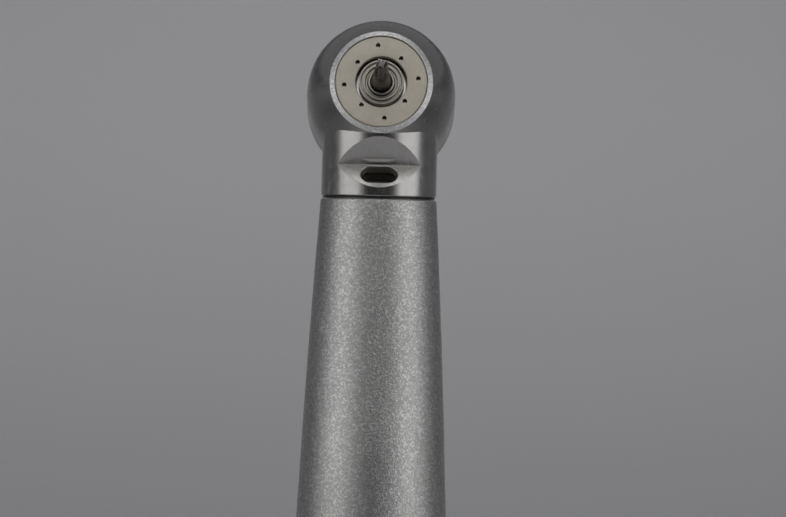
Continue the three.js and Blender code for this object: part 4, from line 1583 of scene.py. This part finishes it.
    def _impeller(self) -> None:
        """Welds swept blades to the hub and its web."""
        hub = washer(self.race_bore, self.hub, -2.8, 0.15, 0.1, 128)
        web = washer(self.hub - 0.1, 3.7, -1.5, -1.2, 0.05, 128)
        (thickness, sweep), root = self.blade, self.hub - 0.15
        edges = []
        for side in (-1, 1):
            for step in range(13):
                share = step / 12
                radius = root + (self.blade_tip - root) * share
                angle = sweep * share * share + side * thickness / (2 * radius)
                edges.append((radius * math.cos(angle), radius * math.sin(angle)))
        blade = extruded(edges[:13] + edges[13:][::-1], -2.6, -0.1)
        blades = self.shop.ringed(blade, MILLED, self.blades)
        wheel = carved(hub, [web, blades], Carving.WELD)
        self.shop.deliver("turbine_wheel", wheel, MILLED, "impeller", body=Body.ROTOR)

    def _chuck(self) -> None:
        """Turns the gripping sleeve and slits it into three fingers, open at the back."""
        outer, bore = self.shaft_bore - 0.04, self.chuck_bore
        back, front = self.chuck_span
        corners = [
            (bore, back, 0.04), (outer, back, 0.06), (outer, front - 0.07, 0.02),
            (outer - 0.04, front, 0.04), (bore + 0.06, front, 0.02), (bore, front - 0.21, 0.02),
        ]
        sleeve = lathe(corners, looped=True)
        near, far, half = self.slit
        slit = extruded([(near, -half), (far, -half), (far, half), (near, half)], -5.0, 2.6)
        slits = self.shop.ringed(slit, TURNED, 3, turn=math.pi / 6)
        self.shop.deliver("grip_chuck", carved(sleeve, [slits]), TURNED, "chuck", body=Body.ROTOR)


@dataclass
class FissureBur:
    """A friction-grip bur: shank, thin neck and a cutting end with twisted blades."""

    shop: Workshop
    shank: Sequence[tuple[float, float]] = (
        (-4.8, 0.62), (-4.74, 0.73), (-4.64, 0.8), (5.3, 0.8), (5.5, 0.77), (5.8, 0.64), (6.1, 0.51),
        (6.4, 0.435), (6.6, 0.42), (7.1, 0.42), (7.35, 0.46),
    )
    head: float = 0.56
    head_span: tuple[float, float] = (7.5, 11.2)
    tip_chamfer: float = 0.3
    lead_in: float = 0.35
    blades: int = 4
    flute: float = 0.46
    twist: float = 0.16
    sides: int = 96
    steps: int = 40

    def build(self) -> None:
        """Skins the bur from the back of its shank to its tip."""
        rings = [self._ring(height, radius, 0.0) for height, radius in self.shank]
        start, tip = self.head_span
        for step in range(self.steps + 1):
            height = start + (tip - start) * step / self.steps
            radius = self.head * min(1.0, 0.5 + (tip - height) / self.tip_chamfer * 0.5)
            share = min(1.0, (height - start) / self.lead_in + 0.1)
            rings.append(self._ring(height, radius, share))
        self.shop.deliver("fissure_bur", skinned(rings), CARBIDE, "bur", body=Body.BUR, sharp=38)

    def _ring(self, height: float, radius: float, share: float) -> list[Vector]:
        """Draws the section at a height, with its flutes cut to a share of their depth."""
        points = []
        for step in range(self.sides):
            angle = FULL_TURN * step / self.sides
            phase = (angle * self.blades / FULL_TURN) % 1.0
            hollow = self.flute * share * min(1.0, phase / 0.12) * (1 - phase) ** 0.6
            turn = angle + max(0.0, height - self.head_span[0]) * self.twist
            reach = radius * (1 - hollow)
            points.append(Vector((reach * math.cos(turn), reach * math.sin(turn), height)))
        return points


# ------------------------------------------------------------------ grip and hose end
PIPES: dict[str, tuple[tuple[float, float], float, tuple[float, float], float]] = {
    "exhaust": ((0.0, -2.55), 1.55, (0.0, 0.0), 0.0),
    "drive": ((0.0, 2.75), 1.2, (0.0, 1.5), 1.2),
    "water": ((-2.9, 0.3), 0.78, (-2.1, -0.1), 0.5),
    "chip": ((2.9, 0.3), 0.78, (2.1, -0.1), 0.5),
}
"""Each pipe's place and radius in the hose end, and its place and radius in the neck."""

SIDES = {"left": -1, "right": 1}
"""The sign of x on each side of the handpiece."""


@dataclass
class Grip:
    """The sand-blasted sleeve, lofted along the spine, and the manifold that it hides."""

    shop: Workshop
    front: float = 8.6
    rear: float = 9.0
    wall: float = 1.1
    bore: float = 3.95
    counterbore: float = 16.6
    profile: Sequence[tuple[float, float]] = (
        (8.6, 4.64), (13.85, 4.98), (24.1, 5.55), (33.1, 5.97), (52, 6.9), (74, 7.5), (92, 7.3),
    )
    rear_radius: float = 6.75
    chamfer: Sequence[tuple[float, float]] = ((0.0, 4.50), (0.11, 4.635))
    sides: int = 192
    plug: tuple[float, float, float] = (2.93, -15.0, -12.0)
    lead_hole: tuple[float, float, float] = (0.36, 2.0, 1.25)
    guide_hole: tuple[float, float] = (1.46, 0.81)

    def build(self) -> None:
        """Makes the sleeve and the manifold."""
        self._sleeve()
        self._manifold()

    def _sleeve(self) -> None:
        """Lofts the sleeve with a polished chamfer at its front and a rounded rear edge."""
        ends = [*self.profile, (self.shop.spine.length - self.rear, self.rear_radius)]
        curve = smoothed([Vector(spot) for spot in ends], 96)
        chamfer = [Vector((self.front + gone, radius)) for gone, radius in self.chamfer]
        body = [spot for spot in curve if spot.x > self.front + 0.2]
        end = body.pop()
        rear = [end - Vector(back) for back in ((0.25, 0), (0.07, 0.07), (0, 0.25))]
        inner = [spot - Vector((0, self.wall)) for spot in body if spot.x > self.counterbore + 1]
        mouth = [Vector((self.counterbore, self.bore)), Vector((self.front, self.bore))]
        inside = [Vector((end.x, end.y - self.wall)), *inner[::-1], *mouth]
        rings = [self._ring(spot) for spot in (*chamfer, *body, *rear, *inside)]
        self.shop.deliver(
            "grip_sleeve", skinned(rings, looped=True), BLASTED, "body_sleeve", frame=Frame.GRIP,
            accents=[Accent(CHAMFERED, self._at_front)],
        )

    def _at_front(self, at: Vector) -> bool:
        """Tells the chamfer's faces, which lie just behind the sleeve's front."""
        spine = self.shop.spine
        station = spine.at(spine.length - self.front)
        ahead = station.x.cross(station.y)
        return (at - station.point).dot(ahead) > -0.1

    def _ring(self, spot: Vector) -> list[Vector]:
        """Draws a round section at a distance from the bur axis."""
        spine = self.shop.spine
        return section(spine.at(spine.length - spot.x), (spot.y, spot.y), self.sides)

    def _manifold(self) -> None:
        """Turns the neck's plug and bores it for the tubes, the exhaust and the light guide."""
        radius, back, front = self.plug
        plug = lathe([(0, back), (radius, back, 0.15), (radius, front, 0.15), (0, front)])
        holes = [(size + 0.06, *at) for _, _, at, size in PIPES.values() if size]
        size, x, y = self.lead_hole
        holes += [(size, sign * x, y) for sign in SIDES.values()]
        below, above = back - 1, front + 1
        tools = [shifted(lathe(rod(size, below, above), 48), x, y) for size, x, y in holes]
        ends = [
            Station(Vector((0, -1.9, height)), Vector((1, 0, 0)), Vector((0, 1, 0)))
            for height in (below, above)
        ]
        tools.append(skinned([section(end, self.guide_hole, 64) for end in ends]))
        self.shop.deliver("tube_manifold", carved(plug, tools), BRASS, "neck_manifold", frame=Frame.NECK)


@dataclass
class HoseEnd:
    """The threaded hose connector, the knurled collar, the pipes and the lamp's contacts."""

    shop: Workshop
    thread: float = 5.45
    thread_depth: float = 0.32
    thread_pitch: float = 0.9
    thread_top: float = 5.4
    block: float = 5.0
    block_top: float = 13.0
    collar: tuple[float, float] = (5.05, 6.55)
    collar_span: tuple[float, float] = (6.05, 8.9)
    seal: tuple[float, float, float, float, float] = (5.04, 5.55, 10.2, 10.8, 0.24)
    contact: tuple[float, float, float] = (3.15, -2.2, 0.4)
    contact_span: tuple[float, float] = (-5.5, 10.0)
    exhaust_span: tuple[float, float] = (-6.5, 14.0)
    bend: tuple[float, float] = (14.0, 96.0)
    runs: Sequence[tuple[str, str, str, float, float, float]] = (
        ("drive", "drive_tube", "drive_air_tube", -6.5, 109.0, 0.25),
        ("water", "water_line", "water_tube", -5.0, 108.6, 0.22),
        ("chip", "chip_air_line", "chip_air_tube", -5.0, 108.6, 0.22),
    )

    def build(self) -> None:
        """Makes every piece of the hose end."""
        self._connector()
        self._collar()
        ring = washer(*self.seal, 128)
        self._deliver("sleeve_seal", ring, SEAL_RUBBER, "sleeve_o_ring", sharp=60)
        (x, y), radius, _, _ = PIPES["exhaust"]
        exhaust = shifted(washer(radius - 0.3, radius, *self.exhaust_span, 0.12), x, y)
        self._deliver("exhaust_tail", exhaust, DRAWN, "exhaust_pipe")
        for pipe, name, node, rear, front, wall in self.runs:
            self._deliver(name, self._tube(pipe, rear, front, wall), DRAWN, node)
        self._contacts()

    def _deliver(self, name: str, mesh: bpy.types.Mesh, finish: Finish, node: str,
                 sharp: float = 32.0) -> None:
        """Delivers a piece of the hose end, which lies in the grip's frame."""
        self.shop.deliver(name, mesh, finish, node, frame=Frame.GRIP, sharp=sharp)

    def _connector(self) -> None:
        """Turns the connector, bores it and cuts its outer thread."""
        top = self.thread_top
        corners = [
            (0, 0), (self.thread - 0.3, 0, 0.08), (self.thread, 0.3, 0.08), (self.thread, top, 0.06),
            (self.block, top + 0.3, 0.06), (self.block, self.block_top, 0.15), (0, self.block_top),
        ]
        outline = divided(rounded(corners, steps=3), 0.2, top, 0.06)
        blank = self.shop.recipes.relief.grow(
            turned(outline, 192), self.shop.material(POLISHED, Frame.GRIP),
            depth=self.thread_depth, starts=1.0, pitch=self.thread_pitch, crossed=0.0, crest=1.25,
            low=0.35, high=top - 0.1, fade=0.3, core_radius=self.block + 0.05,
        )
        x, y, radius = self.contact
        holes = [(size + 0.06, at) for at, size, _, _ in PIPES.values()]
        holes += [(radius + 0.06, (sign * x, y)) for sign in SIDES.values()]
        tools = [self._drill(size, at) for size, at in holes]
        self._deliver("hose_connector", carved(blank, tools), POLISHED, "connector_body")

    def _drill(self, radius: float, at: tuple[float, float]) -> bpy.types.Mesh:
        """Turns a drill with a countersink at the hose face."""
        above = self.block_top + 1
        corners = [
            (0, -1), (radius + 0.6, -1), (radius + 0.12, 0), (radius, 0.14), (radius, above), (0, above),
        ]
        return shifted(lathe(corners, 64), *at)

    def _collar(self) -> None:
        """Turns the collar and presses a diamond knurl into it."""
        inner, outer = self.collar
        low, high = self.collar_span
        corners = [(inner, low, 0.05), (outer, low, 0.22), (outer, high, 0.22), (inner, high, 0.05)]
        loop = rounded(corners, looped=True, steps=4)
        outline = divided([*loop, loop[0]], low + 0.2, high - 0.2, 0.075)[:-1]
        collar = self.shop.recipes.relief.grow(
            turned(outline, 360, looped=True), self.shop.material(POLISHED, Frame.GRIP),
            depth=0.16, starts=60.0, pitch=0.68, crossed=1.0, crest=1.5,
            low=low + 0.3, high=high - 0.3, fade=0.18, core_radius=outer - 0.2,
        )
        self._deliver("knurled_collar", collar, POLISHED, "rear_collar", sharp=50)

    def _tube(self, pipe: str, rear: float, front: float, wall: float) -> bpy.types.Mesh:
        """Skins a tube with rounded lips along the spine.

        Args:
            pipe: its name in PIPES.
            rear: its first distance along the spine.
            front: its last.
            wall: its wall's thickness.

        Returns:
            The tube's mesh.
        """
        at, radius, neck_at, neck_radius = PIPES[pipe]
        spine = self.shop.spine
        lip = wall / 2
        start, end = self.bend

        def ring(distance: float, shrink: float) -> list[Vector]:
            """Draws the tube's section at a distance, shrunk by an amount."""
            share = (distance - start) / (end - start)
            size = eased(radius, neck_radius, share) - shrink
            offset = tuple(eased(before, after, share) for before, after in zip(at, neck_at))
            return section(spine.at(distance), (size, size), 48, offset)

        stops = [rear + lip, *(start + (end - start) * step / 48 for step in range(49)), front - lip]
        outer = [ring(stop, 0.0) for stop in stops]
        inner = [ring(stop, wall) for stop in reversed(stops)]
        near = lip * 0.3
        tip = [ring(front - near, near), ring(front, lip), ring(front - near, wall - near)]
        tail = [ring(rear + near, wall - near), ring(rear, lip), ring(rear + near, near)]
        return skinned([*outer, *tip, *inner, *tail], looped=True)

    def _contacts(self) -> None:
        """Turns the two lamp contacts, with domed tips and a groove."""
        x, y, radius = self.contact
        tip, back = self.contact_span
        groove = radius - 0.08
        corners = [
            (0, tip), (radius - 0.02, tip, 0.3), (radius, tip + 0.7), (radius, -0.9, 0.03),
            (groove, -0.8, 0.03), (groove, -0.5, 0.03), (radius, -0.4, 0.03), (radius, back, 0.06),
            (0, back),
        ]
        for label, sign in SIDES.items():
            pin = shifted(lathe(corners, 48), sign * x, y)
            self._deliver(f"contact_{label}", pin, GILT, f"contact_pin_{label}")


@dataclass
class LampTrain:
    """The lamp in its holder, its leads, and the light guide that runs to the window."""

    shop: Workshop
    shell: HeadShell
    at: tuple[float, float] = (0.0, -1.6)
    rod_half: tuple[float, float] = (1.40, 0.75)
    rod_rear: float = 1.2
    rod_start: float = 97.0
    rod_end: float = 20.9
    base: tuple[float, float, float] = (1.48, 16.0, 17.0)
    lens: tuple[float, float, float] = (1.35, 19.2, 1.1)
    holder: tuple[float, float, float, float, float] = (1.55, 2.2, 15.0, 20.6, 24.0)
    lead: float = 0.2
    lead_stops: Sequence[tuple[float, float, float]] = (
        (3.15, -2.2, 10.15), (3.1, -2.15, 12.6), (1.9, -1.85, 14.3), (0.75, -1.6, 15.1), (0.7, -1.6, 15.9),
    )

    def build(self) -> None:
        """Makes the guide, the lamp, its holder and its leads."""
        self._guide()
        (base, foot, top), (lens, shoulder, dome) = self.base, self.lens
        curve = bow((0, shoulder), (lens, dome), 0.0, math.pi / 2, 16)
        corners = [
            (0, foot), (base, foot, 0.08), (base, top, 0.05), (lens, top + 0.1), *curve[:-1],
            (0, shoulder + dome),
        ]
        self._deliver("light_bulb", shifted(lathe(corners, 96), *self.at), LAMP_CERAMIC, "lamp")
        socket, outer, back, seat, front = self.holder
        bore = self.rod_rear + 0.07
        corners = [
            (socket, back, 0.06), (outer, back, 0.12), (outer, front, 0.12), (bore, front, 0.06),
            (bore, seat), (socket, seat),
        ]
        holder = shifted(lathe(corners, 96, looped=True), *self.at)
        self._deliver("bulb_holder", holder, ANODISED, "lamp_holder")
        for label, sign in SIDES.items():
            lead = self._lead(sign)
            self._deliver(f"lead_{label}", lead, LEAD_SLEEVING, f"lamp_lead_{label}", sharp=60)

    def _deliver(self, name: str, mesh: bpy.types.Mesh, finish: Finish, node: str,
                 sharp: float = 32.0) -> None:
        """Delivers a piece of the lamp train, which lies in the grip's frame."""
        self.shop.deliver(name, mesh, finish, node, frame=Frame.GRIP, sharp=sharp)

    def _guide(self) -> None:
        """Skins the glass rod from the window, down the neck and along the spine."""
        layout, spine, start = self.shop.layout, self.shop.spine, self.rod_start
        carry = layout.carry(Frame.GRIP).inverted() @ layout.carry(Frame.NECK)
        rings = [
            [carry @ point for point in section(station, self.rod_half, 64)]
            for _, station in self.shell.window_stations(self.shell.glass_depth)
        ]
        for step in range(61):
            distance = start + (self.rod_end - start) * step / 60
            gone = start - distance
            half = tuple(eased(value, self.rod_rear, gone / 40) for value in self.rod_half)
            lean = eased(self.shell.rod_neck[0], self.at[1], gone / 65)
            rings.append(section(spine.at(distance), half, 64, (0.0, lean)))
        self._deliver("glass_guide", skinned(rings), FIBRE_GLASS, "light_guide")

    def _lead(self, sign: int) -> bpy.types.Mesh:
        """Skins a lead from its contact to the lamp's foot, on the side where x has this sign."""
        stops = [Vector((sign * x, y, z)) for x, y, z in self.lead_stops]
        points = smoothed(stops, 8 * (len(stops) - 1))
        last = len(points) - 1
        rings = []
        for index, point in enumerate(points):
            way = (points[min(index + 1, last)] - points[max(index - 1, 0)]).normalized()
            y = Vector((0, 1, 0)).cross(way).normalized()
            rings.append(section(Station(point, way.cross(y), y), (self.lead, self.lead), 24))
        return skinned(rings)


# ------------------------------------------------------------------ the studio
@dataclass(frozen=True)
class Softbox:
    """A soft-edged light panel for the handpiece, its grip or the floor, turned to its aim.

    Its direction from the head is given in degrees: a swing about the neck's axis from the
    camera's side, and a rise from the plane square to that axis. Its sizes are in metres.
    """

    name: str
    swing: float
    rise: float
    distance: float
    width: float
    height: float
    radiance: float
    softness: float = 0.5
    aim: tuple[float, float, float] | None = None
    falls_on: str = "handpiece"
    spread: float = 180.0


@dataclass
class Studio:
    """Floor, lights and camera."""

    shop: Workshop
    tilt: float = math.radians(20)
    roll: float = math.radians(1.36)
    aim: tuple[float, float] = (0.95, -13.4)
    distance: float = 0.6
    lens: float = 342.0
    surround: Colour = (0.168, 0.168, 0.177)
    overhead: Colour = (0.040, 0.040, 0.043)
    camera_side: Colour = (0.012, 0.012, 0.012)
    paper: tuple[Colour, Colour] = ((0.70, 0.70, 0.715), (0.72, 0.72, 0.735))
    floor_gap: float = 0.0002
    floor_half: float = 3.0
    panels: Sequence[Softbox] = (
        Softbox("left_softbox", -62, 0, 0.45, 0.50, 0.55, 0.78, 0.42),
        Softbox("right_softbox", 62, 0, 0.45, 0.50, 0.55, 0.85, 0.42),
        Softbox("top_softbox", 0, 84, 0.55, 0.60, 0.42, 1.25),
        Softbox("fill_softbox", 0, 27.5, 0.70, 0.70, 0.37, 1.17),
        Softbox("rear_softbox", 180, 34, 0.60, 0.44, 0.22, 3.2, 0.5, None, "grip"),
        Softbox("rear_floor_light", 180, 60, 0.50, 0.30, 0.30, 1.8, 0.8, (0, 0.36, 0), "floor", 100),
        Softbox("front_floor_light", 0, 50, 0.50, 0.30, 0.30, 2.6, 0.8, (0, -0.27, 0), "floor", 62),
        Softbox("left_floor_light", -90, 60, 0.50, 0.30, 0.30, 1.2, 0.8, (-0.70, 0.25, 0), "floor", 66),
        Softbox("right_floor_light", 90, 60, 0.50, 0.30, 0.30, 1.2, 0.8, (0.70, 0.25, 0), "floor", 66),
    )

    def build(self) -> None:
        """Sets up the world, the floor, the lights and the camera."""
        self.head = self.shop.layout.origin
        self.neck = self.shop.layout.neck
        self.towards = Vector((0, -math.cos(self.tilt), math.sin(self.tilt)))
        self._world()
        self._floor()
        pieces = list(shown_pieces())
        self.lit = {
            "floor": self._gathered("floor", [bpy.data.objects["studio_floor"]]),
            "handpiece": self._gathered("handpiece", pieces),
            "grip": self._gathered("grip", [piece for piece in pieces if piece.name != "head_shell"]),
        }
        for panel in self.panels:
            self._softbox(panel)
        self._camera()

    def _gathered(self, name: str, things: Iterable[bpy.types.Object]) -> bpy.types.Collection:
        """Gathers what a light falls on in a collection."""
        group = bpy.data.collections.new(name)
        for thing in things:
            group.objects.link(thing)
        return group

    def _world(self) -> None:
        """Gives a dim surrounding, which is darker overhead and where the camera stands."""
        world = bpy.data.worlds.new("studio")
        world.use_nodes = True
        web = Web(world.node_tree)
        way = web.add("ShaderNodeTexCoord").outputs["Generated"]
        facing = web.vectors("DOT_PRODUCT", way, self.towards)
        near = web.ranged(facing, 0.80, 0.95, smooth=True)
        above = web.ranged(web.xyz(way)["Z"], 0.45, 0.85, smooth=True)
        shade = web.blended(above, self.surround, self.overhead)
        tint = web.blended(near, shade, self.camera_side)
        web.feed(world.node_tree.nodes["Background"].inputs["Color"], tint)
        bpy.context.scene.world = world

    def _floor(self) -> None:
        """Lays a pale floor just under the handpiece."""
        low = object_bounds()[0]
        height = low[2] - self.floor_gap
        half = self.floor_half
        corners = [(-half, -half), (half, -half), (half, half), (-half, half)]
        mesh = bpy.data.meshes.new("floor")
        mesh.from_pydata([(x, y, height) for x, y in corners], [], [(0, 1, 2, 3)])
        floor = bpy.data.objects.new("studio_floor", mesh)
        bpy.context.scene.collection.objects.link(floor)
        material = bpy.data.materials.new("floor_paper")
        material.use_nodes = True
        web = Web(material.node_tree)
        shader = material.node_tree.nodes["Principled BSDF"]
        place = web.add("ShaderNodeTexCoord").outputs["Object"]
        tint = web.blended(web.noise(place, 40.0, 4.0), *self.paper)
        web.feed(shader.inputs["Base Color"], tint)
        shader.inputs["Roughness"].default_value = 0.8
        shader.inputs["Specular IOR Level"].default_value = 0.2
        mesh.materials.append(material)
        floor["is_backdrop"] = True

    def _aimed(self, data: bpy.types.ID, place: Vector, z: Vector, y: Vector) -> bpy.types.Object:
        """Puts a light or a camera at a place, with its back along z and its top along y."""
        thing = bpy.data.objects.new(data.name, data)
        x = y.cross(z).normalized()
        turn = Matrix((x, z.cross(x).normalized(), z)).transposed().to_4x4()
        thing.matrix_world = Matrix.Translation(place) @ turn
        bpy.context.scene.collection.objects.link(thing)
        return thing

    def _softbox(self, panel: Softbox) -> None:
        """Hangs a light panel whose glow fades towards its edges.

        Args:
            panel: its place, size and radiance.
        """
        light = bpy.data.lights.new(panel.name, "AREA")
        light.shape = "RECTANGLE"
        light.size = panel.width
        light.size_y = panel.height
        light.spread = math.radians(panel.spread)
        light.energy = panel.radiance * math.pi * panel.width * panel.height
        light.use_nodes = True
        web = Web(light.node_tree)
        place = web.add("ShaderNodeNewGeometry").outputs["Parametric"]
        fades = []
        for across in (web.xyz(place)[axis] for axis in ("X", "Y")):
            rim = web.maths("MULTIPLY", web.maths("PINGPONG", across, 0.5), 2.0)
            fades.append(web.ranged(rim, 0.0, panel.softness, smooth=True))
        emission = light.node_tree.nodes["Emission"]
        web.feed(emission.inputs["Strength"], web.maths("MULTIPLY", *fades))
        swing = Matrix.Rotation(math.radians(panel.swing), 3, self.neck)
        level = swing @ self.towards
        rise = math.radians(panel.rise)
        way = (level * math.cos(rise) + self.neck * math.sin(rise)).normalized()
        place = self.head + way * panel.distance
        if panel.aim is not None:
            way = (place - Vector(panel.aim)).normalized()
        upright = self.neck if abs(way.dot(self.neck)) < 0.9 else self.towards
        box = self._aimed(light, place, way, upright)
        box.light_linking.receiver_collection = self.lit[panel.falls_on]
        box.visible_camera = False

    def _camera(self) -> None:
        """Puts the camera square to the neck, rolled a little, behind a long lens."""
        across = Vector((1, 0, 0)) * math.cos(self.roll) + self.neck * math.sin(self.roll)
        up = self.neck * math.cos(self.roll) - Vector((1, 0, 0)) * math.sin(self.roll)
        target = self.head + (across * self.aim[0] + up * self.aim[1]) * MM
        data = bpy.data.cameras.new("camera")
        data.lens = self.lens
        data.sensor_width = 36.0
        data.clip_start = 0.01
        data.clip_end = 20.0
        camera = self._aimed(data, target + self.towards * self.distance, self.towards, up)
        bpy.context.scene.camera = camera


def main() -> None:
    """Builds every sub-assembly around the frame, then the studio."""
    logging.basicConfig(level=logging.INFO, format="%(name)s: %(message)s")
    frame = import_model()
    shop = Workshop(frame["record"])
    shell = HeadShell(shop)
    assemblies = (
        shell, SprayFace(shop), BackCap(shop), Turbine(shop), FissureBur(shop), Grip(shop),
        HoseEnd(shop), LampTrain(shop, shell), Studio(shop),
    )
    for assembly in assemblies:
        assembly.build()
    bpy.context.scene.view_settings.view_transform = "Standard"


if __name__ == "__main__":
    main()
